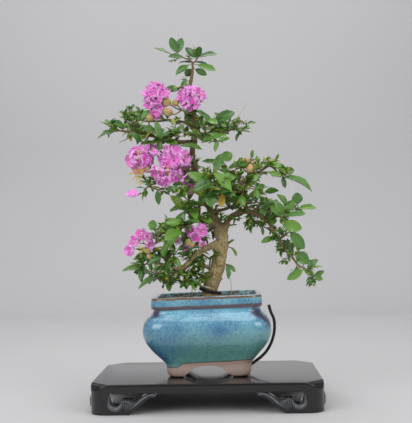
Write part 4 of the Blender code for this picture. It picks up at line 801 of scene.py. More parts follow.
def set_forms(name, seats, forms, finish):
    """Forms set on seats by Geometry Nodes. A seat is (place, turn, three sizes, tint, form), in mm."""
    mesh = bpy.data.meshes.new(name)
    mesh.from_pydata([Vector(place) * MM for place, *_ in seats], [], [])
    give(mesh, "turn", "FLOAT_VECTOR", [v for s in seats for v in s[1].to_euler()])
    give(mesh, "size", "FLOAT_VECTOR", [v for s in seats for v in s[2]])
    give(mesh, "tint", "FLOAT", [s[3] for s in seats])
    give(mesh, "form", "INT", [s[4] for s in seats])
    stock = bpy.data.collections.new(f"{name}_forms")
    for i, (points, faces, *blade_places) in enumerate(forms):
        form = put(f"{name}_form_{i:02d}", points, faces, finish, 60)
        if blade_places:
            give(form.data, "blade", "FLOAT_VECTOR", blade_places[0])
        bpy.context.scene.collection.objects.unlink(form)
        stock.objects.link(form)
    piece = place_new(name, mesh)
    run_group(piece, form_setter, Forms=stock, Finish=finish)
    for form in list(stock.objects):
        bpy.data.objects.remove(form)
    bpy.data.collections.remove(stock)
    return piece


def ball(subdivisions, radius, placed):
    """Points and faces of a ball whose corners are placed anew by a rule."""
    work = bmesh.new()
    bmesh.ops.create_icosphere(work, subdivisions=subdivisions, radius=radius)
    shape = ([placed(v.co) for v in work.verts], [[v.index for v in face.verts] for face in work.faces])
    work.free()
    return shape


def stone(seed):
    """A granule: a ball with unevenly pushed corners, one millimetre across."""
    return ball(1, 0.5, lambda p: p * (0.85 + 0.5 * noise.noise(p * 1.7 + Vector((seed * 9.1, 0, 0)))))


GRIT_SPACING = 1.7
GRIT_COLUMNS = 40  # to either side of the middle
GRIT_ROWS = 30
GRIT_LOWEST = 116.0
TRUNK_FOOT = (3.0, 2.0)
GRIT_CLEAR = 9.0  # of the trunk's middle
MOSS_CLEAR = 9.5
FROM_ABOVE = 150.0
soil_mesh = soil_node.data
top_faces = [p for p in soil_mesh.polygons if p.normal.z > 0.5 and p.center.z > GRIT_LOWEST * MM]
soil_top = BVHTree.FromPolygons([v.co for v in soil_mesh.vertices], [tuple(p.vertices) for p in top_faces])
rng = random.Random(4)
grit_seats = []
moss_seats = []
for column in range(-GRIT_COLUMNS, GRIT_COLUMNS + 1):
    for row in range(-GRIT_ROWS, GRIT_ROWS + 1):
        x = (column + rng.uniform(-0.45, 0.45)) * GRIT_SPACING
        y = (row + rng.uniform(-0.45, 0.45)) * GRIT_SPACING
        hit = soil_top.ray_cast(Vector((x, y, FROM_ABOVE)) * MM, Vector((0, 0, -1)))[0]
        if hit is None:
            continue
        angle = rng.uniform(0, math.tau)
        turn = Matrix.Rotation(angle, 3, Vector((rng.random(), rng.random(), 1)).normalized())
        spot = hit / MM
        away = math.hypot(x - TRUNK_FOOT[0], y - TRUNK_FOOT[1])
        mossy = noise.noise(Vector((x * 0.09, y * 0.09, 3.0))) + 0.55 - away / 40
        if mossy > 0.2 and away > MOSS_CLEAR:
            for _ in range(3):
                shift = Vector((rng.uniform(-0.8, 0.8), rng.uniform(-0.8, 0.8), rng.uniform(0, 0.7)))
                size = rng.uniform(0.9, 1.7)
                moss_seats.append((spot + shift, turn, (size,) * 3, rng.random(), rng.randrange(3)))
        if away > GRIT_CLEAR:
            size = rng.choice((1.3, 1.7, 2.1, 2.1, 2.6, 3.1))
            lift = Vector((0, 0, size * rng.uniform(0.05, 0.3)))
            grit_seats.append((spot + lift, turn, (size,) * 3, rng.random(), rng.randrange(5)))
seat(set_forms("grit_granules", grit_seats, [stone(k) for k in range(5)], granules), "bonsai_soil")
seat(set_forms("moss_cushions", moss_seats, [stone(k + 20) for k in range(3)], moss), "bonsai_soil")


# The tie wire: three black-coated strands laid up as a rope, once round the trunk's foot and down
# through the grit and the drain hole, to hold the tree in the pot. Its end stands up at the right.
WIRE_ROUTE = (
    (9, 15.5, 113), (7.5, 14.8, 123), (2, 13.2, 130), (-5.3, 8, 131), (-7.6, 0.5, 130.3),
    (-4, -6.8, 128.8), (3.5, -9.6, 127.4), (11, -7.4, 126), (15.6, -2, 124), (17.4, 3, 118),
    (18.2, 4.5, 108), (20.5, 3.5, 92), (23, 1.5, 72), (24, 0, 60), (24, 0, 51), (27, 0.5, 43.6),
    (34, 2.5, 38.6), (43, 5, 37.9), (50.7, 6, 40.6), (55.4, 6, 43.8), (60.2, 6, 47.2), (64.6, 6, 51),
    (69, 6, 55.8), (73, 6, 62.3), (75.8, 6, 69), (78, 6, 77.5), (78.6, 6, 86.4), (77.5, 5.5, 93.9),
    (74.4, 4, 101.3), (72.2, 4, 109.4),
)
STRANDS = 3
STRAND_RADIUS = 0.88
STRAND_OFFSET = 1.1
LAY_LENGTH = 7.0

# Black plastic coat on soft wire, dulled by weather
wire_coat = start_material("black_wire_coat", {"Base Color": "#262324", "Roughness": 0.48})[0]

line_thickener, given = start_group("line_thickener", (("Sides", "Int"),))
thick = add(line_thickener, "GeometryNodeInputNamedAttribute", {"Name": "thick"}, data_type="FLOAT")
curve = add(line_thickener, "GeometryNodeMeshToCurve", {"Mesh": given["Geometry"]})
ring = add(line_thickener, "GeometryNodeCurvePrimitiveCircle", {"Resolution": given["Sides"], "Radius": 1.0})
skin = add(line_thickener, "GeometryNodeCurveToMesh",
           {"Curve": curve, "Profile Curve": ring, "Scale": thick, "Fill Caps": True})
end_group(line_thickener, add(line_thickener, "GeometryNodeSetShadeSmooth", {"Geometry": skin}), given)


def draw_lines(name, lines, finish, sides):
    """Closed tubes along lines by Geometry Nodes. A line is (points, radii), in millimetres."""
    places = []
    edges = []
    widths = []
    for route, radii in lines:
        edges += [(len(places) + i, len(places) + i + 1) for i in range(len(route) - 1)]
        places += [Vector(p) * MM for p in route]
        widths += [r * MM for r in radii]
    mesh = bpy.data.meshes.new(name)
    mesh.from_pydata(places, edges, [])
    give(mesh, "thick", "FLOAT", widths)
    piece = place_new(name, mesh)
    run_group(piece, line_thickener, Sides=sides, Finish=finish)
    return piece


def tapered(route, step, radii):
    """A smooth line along a route, with its radii."""
    line = smooth_route(route, step)
    return line, taper(line, radii)


centre_line = smooth_route(WIRE_ROUTE, 1.2)
beside = Vector((0, 0, 1))
strands = [[] for _ in range(STRANDS)]
gone = 0.0
for i, (centre, way) in enumerate(zip(centre_line, directions(centre_line))):
    if i:
        gone += (centre - centre_line[i - 1]).length
    beside = (beside - way * beside.dot(way)).normalized()
    other = way.cross(beside)
    for k in range(STRANDS):
        angle = math.tau * (gone / LAY_LENGTH + k / STRANDS)
        strands[k].append(centre + (beside * math.cos(angle) + other * math.sin(angle)) * STRAND_OFFSET)
wire = draw_lines("tie_wire_rope", [(line, [STRAND_RADIUS] * len(line)) for line in strands], wire_coat, 8)
seat(wire, "black_wire", "tie_wire")

# A pale strip along the top of the wire's loop in front of the trunk: a painted highlight of the wire, drawn
# as a thin pale tube
WIRE_HIGHLIGHT_ROUTE = ((-8.2, 0, 134), (-6.8, -5.5, 133.6), (-2, -9, 132.6), (4.5, -9.8, 131))
raffia = start_material("raffia", {"Base Color": "#d9d4c6", "Roughness": 0.7})[0]
seat(draw_lines("bark_guard", [tapered(WIRE_HIGHLIGHT_ROUTE, 1.5, (0.8, 1.0, 0.7))], raffia, 6), "black_wire")


# The wood: an old trunk that leans and narrows quickly where it was cut back, with limbs that were
# bent with wire. The bark is thin, grey-brown, ridged and knotted; young wood is darker, and painted shade
# darkens it more at the junction under the foliage.
TRUNK = ((3, 2, 98), (3, 2, 110), (3, 2, 120), (4.5, 2, 132), (11, 2, 149), (16, 2, 169), (19, 2, 187),
         (16, 2, 197), (10, 2, 208), (6, 3, 220), (3, 4, 234), (-4, 4, 251), (-11, 2, 267),
         (-14, 0, 281), (-14, 0, 296), (-11, 2, 315), (-12, 3, 331), (-14, 2, 349), (-16, 0, 367),
         (-14, -1, 378), (-12, -2, 391))
TRUNK_RADII = (10.0, 9.6, 8.8, 8.4, 8.0, 7.8, 5.6, 3.9, 3.4, 3.3, 3.5, 3.3, 3.1, 3.0, 2.7, 2.4, 2.1, 1.7)
LIMBS = {
    "left_low": (((15, 0, 183), (1, -6, 178), (-11, -10, 170), (-21, -14, 161), (-30, -16, 155),
                  (-44, -20, 158), (-58, -22, 162), (-69, -22, 161)), (4.2, 3.2, 2.2, 1.4)),
    "left_low_inner": (((-17, -12, 164), (-29, -8, 150), (-42, -2, 146), (-55, 2, 146)), (2.0, 1.3)),
    "left_low_mid": (((11, -2, 206), (-3, -14, 210), (-17, -24, 208), (-32, -30, 199),
                      (-47, -32, 190), (-60, -32, 183)), (3.0, 2.2, 1.3)),
    "cascade": (((19, 3, 190), (26, 4, 209), (36, 2, 217), (49, 0, 220), (61, -3, 216), (73, -6, 207),
                 (82, -8, 191), (91, -8, 177), (99, -6, 167), (106, -5, 157), (114, -4, 152)),
                (4.2, 3.5, 3.1, 2.6, 2.0, 1.4, 1.1)),
    "mid_right": (((-3, 3, 247), (12, -8, 244), (27, -14, 247), (41, -16, 251), (54, -14, 258),
                   (65, -12, 266), (76, -12, 272), (86, -12, 263)), (2.8, 2.2, 1.8, 1.2)),
    "mid_back": (((6, 4, 219), (22, 12, 223), (38, 18, 228), (55, 20, 230)), (2.2, 1.6, 1.2)),
    "tier_left": (((-12, -1, 303), (-27, -10, 302), (-44, -16, 305), (-61, -18, 309), (-76, -18, 313),
                   (-91, -16, 315), (-99, -15, 316)), (2.6, 2.1, 1.7, 1.1)),
    "tier_left_back": (((-11, 3, 322), (-25, 10, 328), (-41, 14, 331), (-58, 14, 330), (-73, 12, 330)),
                       (1.9, 1.4, 1.0)),
    "tier_right": (((-11, 1, 313), (3, -6, 312), (19, -8, 315), (33, -6, 320), (46, -4, 326)),
                   (2.0, 1.5, 0.9)),
    "face_left": (((-14, 0, 281), (-20, -14, 269), (-33, -22, 259), (-48, -26, 255), (-60, -26, 252)),
                  (2.2, 1.6, 1.1)),
}

# Knots in the old wood: the middle and the half sizes of each
KNOTS = (
    ((13, -2, 176), (6.4, 6.0, 5.4)), ((19, 0, 188), (5.4, 4.8, 5.8)), ((13, -1, 199), (4.4, 4.2, 4.2)),
    ((8, -4, 150), (4.2, 4.4, 5.2)), ((16, -4, 160), (4.6, 4.8, 5.0)), ((-1, 1, 123), (6.0, 6.4, 4.6)),
    ((9, -1, 121), (5.2, 6.4, 4.2)), ((4, 4, 226), (4.0, 3.6, 4.4)), ((-12, 1, 303), (3.9, 3.6, 4.6)),
)

# Bark of old wood: olive brown with pale flaked patches of 6 mm and dark streaks along the trunk,
# 1.6 mm wide. Above the place where the trunk was cut back it is darker: younger wood, and painted shade
# where the junction lies under the foliage.
bark, tree, shader = start_material("crepe_myrtle_bark", {"Roughness": 0.82})
place = add(tree, "ShaderNodeTexCoord").outputs["Object"]
place = add(tree, "ShaderNodeMapping", {"Vector": place, "Scale": IN_MM})
height = add(tree, "ShaderNodeSeparateXYZ", {0: place}).outputs[2]
upright = add(tree, "ShaderNodeMapping", {"Vector": place, "Scale": (1.0, 1.0, 0.42)})
streaks = add(tree, "ShaderNodeTexNoise",
              {"Vector": upright, "Scale": 0.62, "Detail": 6.0, "Roughness": 0.78})
patches = add(tree, "ShaderNodeTexNoise", {"Vector": place, "Scale": 0.17, "Detail": 4.0, "Roughness": 0.6})
tone = add(tree, "ShaderNodeValToRGB", {"Fac": streaks})
set_stops(tone, ((0.33, "#4d3f28"), (0.5, "#a89465"), (0.68, "#ddcb9c")))
tone = lay(tree, tone, "#c4bb9c", patches, 0.55, 0.7, 0.5)
# Darker above 186 mm: the younger wood's own tone, with painted shade over the junction under the foliage
tone = lay(tree, tone, "#6b583c", height, 186.0, 206.0, 0.72)
bump = add(tree, "ShaderNodeBump", {"Height": streaks, "Strength": 0.8, "Distance": 0.0011})
fill(shader, {"Base Color": tone, "Normal": bump})


def tube(route, radii, sides):
    """Points and faces of a closed tube, carried along its route without twist."""
    ways = directions(route)
    beside = ways[0].orthogonal().normalized()
    rings = []
    for centre, way, radius in zip(route, ways, radii):
        beside = (beside - way * beside.dot(way)).normalized()
        other = way.cross(beside)
        ring = []
        for k in range(sides):
            angle = math.tau * k / sides
            ring.append(centre + (beside * math.cos(angle) + other * math.sin(angle)) * radius)
        rings.append(ring)
    return loft(rings)


def knot(centre, size):
    """A knot in the wood: a ball with the given half sizes."""
    return ball(3, 1.0, lambda p: Vector(centre) + Vector([p[i] * size[i] for i in range(3)]))


WOOD_GRAIN = 0.65
WOOD_STEP = 2.0
# Young wood, above this height or this far to a side of the old trunk, is less rough
YOUNG_WOOD_HEIGHT = 215
OLD_TRUNK_MIDDLE = 8
OLD_TRUNK_REACH = 24
YOUNG_WOOD_SHARE = 0.3
trunk_line, widths = tapered(TRUNK, WOOD_STEP, TRUNK_RADII)
stock = [tube(trunk_line, widths, 28)]
for points, radii in LIMBS.values():
    line, widths = tapered(points, WOOD_STEP, radii)
    # Limbs swell a little every centimetre or so, where shoots once grew
    widths = [w * (1 + 0.12 * max(0.0, noise.noise(p * 0.16))) for w, p in zip(widths, line)]
    stock.append(tube(line, widths, 14))
    if radii[0] > 2.3:
        stock.append(knot(line[2], (radii[0] * 1.12,) * 3))
stock += [knot(*spot_and_size) for spot_and_size in KNOTS]
wood = put("trunk_and_limbs", *joined(stock), bark)
merge = wood.modifiers.new("grown_together", "REMESH")
merge.mode = "VOXEL"
merge.voxel_size = WOOD_GRAIN * MM
merge.use_smooth_shade = True
take_result(wood)
relief = wood.data
outwards = [corner.normal.copy() for corner in relief.vertices]
for corner, outward in zip(relief.vertices, outwards):
    spot = corner.co / MM
    is_young = spot.z > YOUNG_WOOD_HEIGHT or abs(spot.x - OLD_TRUNK_MIDDLE) > OLD_TRUNK_REACH
    rough = YOUNG_WOOD_SHARE if is_young else 1.0
    ridges = noise.noise(Vector((spot.x * 0.34, spot.y * 0.34, spot.z * 0.11))) * 0.75
    lumps = noise.noise(spot * 0.13) * 0.9
    crumb = noise.noise(spot * 0.8) * 0.22
    corner.co += outward * (ridges + lumps + crumb) * rough * MM
relief.shade_smooth()
seat(wood, "crepe_myrtle_bark", "trunk")


# The leafy shoots, bough by bough: thin brown twigs with leaves in pairs, and small leaves on fine
# side shoots between them. Leaves are glossy, blunt, folded a little along the midrib. Those that
# stand out from the front were placed one by one, and the others follow from their twig's pairs.
SIDES_FACED = {"up": Vector((0, -0.25, 1)), "front": Vector((0, -1, 0.55)), "back": Vector((0, 1, 0.55))}

# Twig bark: smooth, red brown to tan in patches of 8 mm
twig_bark = mottled("twig_bark", {"Roughness": 0.6}, {"Scale": 120.0, "Detail": 4.0}, ("#5d4530", "#927650"))

# Leaf: a leathery blade with a sheen of wax, uneven over 6 mm, a pale midrib and faint side veins
leaf, tree, shader = start_material(
    "crepe_myrtle_leaf", {"Specular IOR Level": 0.5, "Subsurface Weight": 0.04,
                          "Subsurface Radius": (0.0006, 0.001, 0.0002), "Coat Weight": 0.3,
                          "Coat Roughness": 0.2}
)
tint = add(tree, "ShaderNodeAttribute", attribute_name="tint").outputs["Fac"]
greens = add(tree, "ShaderNodeValToRGB", {"Fac": tint})
set_stops(greens, ((0.0, "#2e5220"), (0.3, "#46772d"), (0.6, "#6d9d38"), (0.85, "#a2af49"), (1.0, "#c4a024")))
blade = add(tree, "ShaderNodeAttribute", attribute_name="blade").outputs["Vector"]
across_blade, along_blade, _ = add(tree, "ShaderNodeSeparateXYZ", {0: blade}).outputs
off_rib = add(tree, "ShaderNodeMath", {0: across_blade, 1: 0.5}, operation="SUBTRACT")
off_rib = add(tree, "ShaderNodeMath", {0: off_rib}, operation="ABSOLUTE")
VEINS = 46.0  # the side veins' wave over a leaf's length, in radians: seven veins, 3 mm apart
slanted = add(tree, "ShaderNodeMath", {0: off_rib, 1: -0.55, 2: along_blade}, operation="MULTIPLY_ADD")
wave = add(tree, "ShaderNodeMath", {0: slanted, 1: VEINS}, operation="MULTIPLY")
wave = add(tree, "ShaderNodeMath", {0: wave}, operation="SINE")
place = add(tree, "ShaderNodeTexCoord").outputs["Object"]
wax = add(tree, "ShaderNodeTexNoise", {"Vector": place, "Scale": 160.0, "Detail": 2.0})
fill(shader, {
    "Base Color": lay(tree, greens, "#86a851", off_rib, 0.05, 0.0, 0.7),
    "Roughness": add(tree, "ShaderNodeMapRange", {"Value": wax, "To Min": 0.26, "To Max": 0.46}),
    "Normal": add(tree, "ShaderNodeBump", {"Height": wave, "Strength": 0.25, "Distance": 0.0002}),
})

# Half widths of a leaf along its length, from the stalk to the blunt tip
LEAF_OUTLINE = ((0.0, 0.05), (0.06, 0.12), (0.2, 0.6), (0.38, 0.93), (0.55, 1.0), (0.72, 0.88), (0.87, 0.58),
                (0.96, 0.26), (1.0, 0.04))
SMALL_OUTLINE = ((0.0, 0.05), (0.14, 0.42), (0.38, 0.93), (0.62, 0.97), (0.86, 0.6), (1.0, 0.05))
ACROSS_LEAF = (-1.0, -0.55, 0.0, 0.55, 1.0)
ACROSS_SMALL_LEAF = (-1.0, 0.0, 1.0)
BLADE_THICKNESS = 0.02
LEAF_WIDTH = 0.44  # usual width of a leaf over its length
# Fold along the midrib, droop and waviness of each form
LEAF_FORMS = ((0.24, 0.08, 0.02), (0.2, 0.18, 0.03), (0.15, 0.12, 0.025), (0.14, 0.26, 0.03),
              (0.28, 0.3, 0.03), (0.18, -0.08, 0.03))

# Round the flower heads and in front of the low limb no small leaves grow: place and radius
KEPT_FREE = (((-55, -20, 352), 17), ((-14, -22, 353), 17), ((-72, -33, 282), 17), ((-36, -36, 276), 17),
             ((-42, -36, 262), 17), ((-9, -36, 195), 15), ((-74, -40, 185), 13), ((4, -16, 178), 11),
             ((-7, -20, 172), 11), ((-16, -24, 164), 11), ((-25, -26, 158), 11))
BARE_SHOOTS = ("sprout_high", "sprout_low")
TWIG_STEP = 2.0
LEAF_STEP = 0.5
SUNK_STEPS = 3  # the last pair stands this many steps back from its twig's tip
PAIR_ROLL = 80  # degrees from one pair to the next
PAIR_SPREAD = 9
SEEN_APART = 10  # between the middles of a planned leaf and of one seen
PLANNED_SHARE = 0.75  # of a free place's radius, kept clear of planned leaves too
SEEN_LONGER = 1.08  # a tip's narrow end hardly shows, so a leaf seen is drawn longer
STALK_SPAN = (0.8, 12)  # shortest and longest stalk drawn to a leaf seen


def sheet_faces(rows, columns):
    """Faces of a thin sheet's two sides and long edges. Its points go by side, row and column."""
    under = rows * columns
    faces = []
    for i in range(rows - 1):
        for k in range(columns - 1):
            a = i * columns + k
            faces.append((a, a + 1, a + columns + 1, a + columns))
            faces.append((under + a, under + a + columns, under + a + columns + 1, under + a + 1))
        for k in (0, columns - 1):
            a = i * columns + k
            faces.append((a, a + columns, under + a + columns, under + a))
    return faces


def leaf_form(fold, droop, wave, outline=LEAF_OUTLINE, columns=ACROSS_LEAF):
    """A closed leaf one millimetre long and wide, along +Y with its upper side to +Z."""
    points = []
    blade_places = []
    for lift in (BLADE_THICKNESS / 2, -BLADE_THICKNESS / 2):
        for share, half in outline:
            for u in columns:
                x = u * half / 2
                ripple = wave * math.sin(11 * share + (2 if u > 0 else 0)) * abs(u)
                thick = lift * (1 - abs(u) * 0.6)
                points.append((x, share, fold * abs(x) - droop * share**2 + ripple + thick))
                blade_places += (u / 2 + 0.5, share, 0.0)
    count = len(columns)
    under = len(outline) * count
    faces = sheet_faces(len(outline), count)
    for a in (0, under - count):
        faces.append(tuple(range(a, a + count)) + tuple(range(under + a + count - 1, under + a - 1, -1)))
    return points, faces, blade_places


def leaf_turn(ahead, facing):
    """The turn that lays a leaf along a direction with its upper side to the facing."""
    forward = ahead.normalized()
    upward = facing - forward * facing.dot(forward)
    if upward.length < 0.05:
        upward = forward.orthogonal()
    upward.normalize()
    return Matrix((forward.cross(upward), forward, upward)).transposed()


def turned_to_look(ahead, share):
    """The facing of a leaf that, seen from the front, shows this share of its width."""
    forward = ahead.normalized()
    to_front = Vector((0, -1, 0))
    to_front = (to_front - forward * to_front.dot(forward)).normalized()
    raised = forward.cross(to_front)
    if raised.z < 0:
        raised = -raised
    angle = math.acos(max(0.1, min(1.0, share)))
    return to_front * math.cos(angle) + raised * math.sin(angle)


def leaf_pairs(twig, pairs, size, roll, spread, side, rng):
    """Root, way and facing of a twig's leaves, which stand in pairs counted back from its tip."""
    fine = smooth_route(twig, LEAF_STEP)
    for pair in range(pairs):
        at = max(2, round((len(fine) - 1 - SUNK_STEPS) * (1 - pair * 0.8 / pairs)))
        way = (fine[at + 1] - fine[at - 1]).normalized()
        level = way.cross(Vector((0, 0, 1)))
        level = level.normalized() if level.length > 0.1 else Vector((1, 0, 0))
        axis = Matrix.Rotation(math.radians(roll + PAIR_ROLL * pair), 3, way) @ level
        for hand in (1, -1):
            angle = math.radians(spread + PAIR_SPREAD * pair + rng.uniform(-6, 6))
            ahead = way * math.cos(angle) + axis * hand * math.sin(angle)
            length = size * (1 - 0.07 * pair) * rng.uniform(0.93, 1.06)
            yield fine[at], ahead * length, SIDES_FACED[side] + ahead * 0.3


def grow_bough(name, shoots, seen, limbs, trunk_span, seed, small_leaf, side_every, young=0.5,
               large_tint=0.43):
    """The twigs and leaves of one bough, as two pieces that stand for its shoots' nodes.

    A shoot's twig is its route, then the pairs of leaves on it, the length of the last pair, its
    roll and spread in degrees and the side that its leaves face. The leaves seen are single ones,
    each its root, its tip and the width that shows; a planned leaf gives way to one of these.
    """
    rng = random.Random(seed)
    lines = []
    seats = []
    carriers = []
    grown = []
    middles = [(Vector(leaf[:3]) + Vector(leaf[3:6])) / 2 for leaf in seen]
    for shoot, twigs in shoots.items():
        own = []
        for twig, *plan in twigs:
            line = smooth_route(twig, TWIG_STEP)
            if own:
                line[0] = min(own, key=lambda p: (p - line[0]).length)
            own += line
            length = sum((b - a).length for a, b in zip(line, line[1:]))
            lines.append((line, taper(line, (0.95 + 0.008 * length, 0.5))))
            if shoot not in BARE_SHOOTS:
                carriers.append(line)
            for root, ahead, facing in leaf_pairs(twig, *plan, rng) if plan else ():
                over = root + ahead * 0.6
                if any((root + ahead / 2 - middle).length < SEEN_APART for middle in middles):
                    continue
                if any((over - Vector(middle)).length < radius * PLANNED_SHARE
                       for middle, radius in KEPT_FREE):
                    continue
                wide = ahead.length * LEAF_WIDTH * rng.uniform(0.8, 1.1)
                tint = min(0.75, max(0.05, rng.gauss(large_tint - 0.08, 0.18)))
                sizes = (wide, ahead.length, ahead.length)
                seats.append((root, leaf_turn(ahead, facing), sizes, tint, rng.randrange(len(LEAF_FORMS))))
        grown += own
    for leaf_seen in seen:
        root = Vector(leaf_seen[:3])
        ahead = Vector(leaf_seen[3:6]) - root
        length = ahead.length * SEEN_LONGER
        wide = max(leaf_seen[6], length * LEAF_WIDTH)
        turn = leaf_turn(ahead, turned_to_look(ahead, leaf_seen[6] / wide))
        tint = large_tint + rng.uniform(-0.18, 0.18)
        seats.append((root, turn, (wide, length, length), tint, rng.randrange(len(LEAF_FORMS))))
        # Its stalk reaches back to the nearest twig
        near = min(grown, key=lambda p: (p - root).length)
        if STALK_SPAN[0] < (near - root).length < STALK_SPAN[1]:
            lines.append(([near, root + ahead * 0.03], (0.45, 0.35)))
    for limb in limbs:
        carriers.append(smooth_route(LIMBS[limb][0], TWIG_STEP)[6:])
    carriers.append([p for p in trunk_line if trunk_span[0] <= p.z <= trunk_span[1]])
    for line in carriers:
        gap = rng.uniform(0.5, 1.0) * side_every
        for a, b in zip(line, line[1:]):
            gap -= (b - a).length
            if gap > 0:
                continue
            gap = side_every * rng.uniform(0.6, 1.4)
            way = (b - a).normalized()
            out = Vector((rng.gauss(0, 1), rng.gauss(-0.2, 1), rng.gauss(0.25, 0.7)))
            out = (out - way * out.dot(way)).normalized() + way * rng.uniform(0, 0.9)
            reach = rng.uniform(4.0, 13.0)
            bent = a + out * reach + Vector((0, 0, reach * 0.15))
            side = smooth_route((a, a + out * reach * 0.5, bent), 1.8)
            lines.append((side, taper(side, (0.5, 0.28))))
            for spot in side[1:] + [side[-1]]:
                kept_free = any((spot - Vector(middle)).length < radius for middle, radius in KEPT_FREE)
                for hand in (1, -1):
                    if rng.random() < 0.2 or kept_free:
                        continue
                    raised = Vector((rng.gauss(0, 0.4), rng.gauss(0, 0.4), 1))
                    sideways = out.cross(raised).normalized() * hand
                    ahead = out.normalized() * rng.uniform(0.4, 1.0) + sideways * rng.uniform(0.4, 1.1)
                    ahead += Vector((0, 0, rng.uniform(-0.2, 0.5)))
                    facing = Vector((rng.gauss(0, 0.5), rng.gauss(-0.4, 0.5), 1))
                    size = small_leaf * rng.uniform(0.55, 1.3)
                    tint = min(0.9, max(0.05, rng.gauss(young, 0.25)))
                    sizes = (size * rng.uniform(0.32, 0.5), size, size)
                    form = len(LEAF_FORMS) + rng.randrange(len(LEAF_FORMS))
                    seats.append((spot, leaf_turn(ahead, facing), sizes, tint, form))
    nodes = [f"spray_{shoot}" for shoot in shoots]
    seat(draw_lines(f"twigs_{name}", lines, twig_bark, 6), "crepe_myrtle_bark", *nodes)
    forms = [leaf_form(*form) for form in LEAF_FORMS]
    forms += [leaf_form(*form, SMALL_OUTLINE, ACROSS_SMALL_LEAF) for form in LEAF_FORMS]
    seat(set_forms(f"leaves_{name}", seats, forms, leaf), "crepe_myrtle_leaf", *nodes)


grow_bough("crown", {
    "top": (
        (((-12, -2, 391), (-14, -3, 398), (-23, -4, 402), (-35, -4, 406)), 2, 19, 90, 35, "up"),
        (((-28, -4, 403), (-29, -6, 406)), 1, 20, 0, 20, "front"),
        (((-12, -2, 395), (-8, -3, 399), (-5, -4, 402)), 1, 20, 0, 48, "up"),
        (((-12, -2, 394), (-12, -8, 393)), 1, 22, 0, 100, "up"),
        (((-13, -2, 396), (-12, 6, 399)), 1, 18, 10, 80, "up"),
    ),
    "neck": (
        (((-16, 0, 369), (-20, -6, 368), (-25, -10, 364)), 2, 16, 70, 50, "front"),
        (((-19, -5, 368), (-33, -11, 364), (-54, -14, 353)),),
    ),
    "shoulder": (
        (((-13, 2, 340), (-7, -6, 338), (0, -10, 335)), 1, 19, 60, 40, "up"),
        (((-8, -5, 339), (-11, -12, 341), (-14, -14, 355)),),
        (((-4, -7, 337), (5, -8, 326), (13, -10, 326)), 2, 22, 80, 50, "front"),
    ),
    "back_crown": (
        (((-11, 2, 312), (-8, 22, 322), (-4, 38, 331)), 2, 18, 30, 55, "back"),
        (((-9, 16, 319), (-20, 30, 326), (-28, 42, 332)), 2, 16, 0, 55, "back"),
    ),
}, seen=(
    (-38, -4, 407, -56, -6, 412, 4), (-23, -4, 402, -36, -14, 404, 7),
    (-7, -4, 401, -19, -6, 413, 8.5), (-6, -4, 402, 15, -6, 407, 7), (-16, -6, 393, -31, -9, 384, 8),
    (-7, -6, 393, 13, -9, 384, 8.5), (-10, 5, 390, 3, 3, 383, 8), (-13, 5, 390, -21, 3, 382, 10),
    (-30, -5, 407, -37, -8, 424, 10), (-29, -5, 407, -25, -7, 424, 10),
    (-27, -9, 364, -43, -11, 365, 8), (-19, -7, 376, -25, -9, 366, 7), (-9, -9, 339, 10, -12, 327, 7),
    (12, -10, 327, 34, -12, 335, 12),
), limbs=(), large_tint=0.27, trunk_span=(345, 388), seed=21, small_leaf=6.0, side_every=13.0)

grow_bough("upper_left", {
    "tier_left_tip": (
        (((-99, -15, 316), (-104, -15, 315)), 2, 20, 90, 45, "up"),
        (((-101, -15, 315), (-108, -10, 320)), 1, 16, 20, 40, "up"),
    ),
    "tier_left_rise": (
        (((-85, -16, 315), (-79, -17, 322), (-74, -17, 328)), 2, 16, 0, 50, "up"),
        (((-80, -17, 320), (-88, -20, 325), (-92, -22, 329)), 1, 14, 60, 50, "up"),
    ),
    "tier_left_under": (
        (((-64, -18, 309), (-65, -24, 305), (-72, -28, 299)), 2, 21, 60, 70, "front"),
        (((-65, -21, 307), (-61, -28, 314), (-62, -30, 320)), 1, 13, 0, 55, "front"),
    ),
    "tier_left_inner": (
        (((-40, -14, 304), (-44, -22, 302), (-50, -30, 302)), 2, 22, 90, 75, "front"),
        (((-44, -22, 302), (-36, -30, 307), (-31, -34, 311)), 1, 15, 30, 45, "front"),
    ),
    "tier_left_back": (
        (((-73, 12, 330), (-80, 12, 334), (-90, 12, 336)), 1, 14, 45, 50, "up"),
        (((-79, 12, 334), (-86, 26, 329), (-92, 38, 328)), 2, 16, 0, 55, "back"),
    ),
}, seen=(
    (-100, -15, 316, -122, -18, 312, 5), (-74, -17, 327, -64, -19, 339, 7),
    (-74, -17, 327, -90, -19, 336, 7), (-90, -21, 319, -106, -24, 326, 7),
    (-73, -25, 299, -49, -28, 299, 6), (-56, -29, 314, -67, -31, 317, 9),
    (-50, -33, 303, -28, -36, 315, 6),
), limbs=("tier_left", "tier_left_back"), trunk_span=(306, 345), seed=22, small_leaf=7.5,
   side_every=4.0)

grow_bough("upper_right", {
    "tier_right_front": (
        (((3, -6, 312), (1, -14, 304), (-1, -22, 300)), 1, 25, 0, 85, "front"),
        (((2, -10, 308), (11, -20, 304), (17, -26, 300)), 1, 14, 45, 55, "front"),
    ),
    "tier_right_end": (
        (((33, -6, 320), (40, -9, 317), (43, -12, 312)), 1, 13, 45, 55, "up"),
        (((36, -8, 318), (26, -16, 311), (21, -20, 308)), 1, 12, 0, 55, "front"),
    ),
    "tier_right_back": (
        (((19, -8, 315), (25, 8, 322), (32, 22, 330)), 1, 15, 30, 55, "back"),
    ),
}, seen=(
    (-3, -21, 299, 19, -24, 310, 9), (-28, -22, 296, -4, -25, 293, 6),
), limbs=("tier_right",), trunk_span=(296, 335), seed=23, small_leaf=7.5, side_every=4.6)

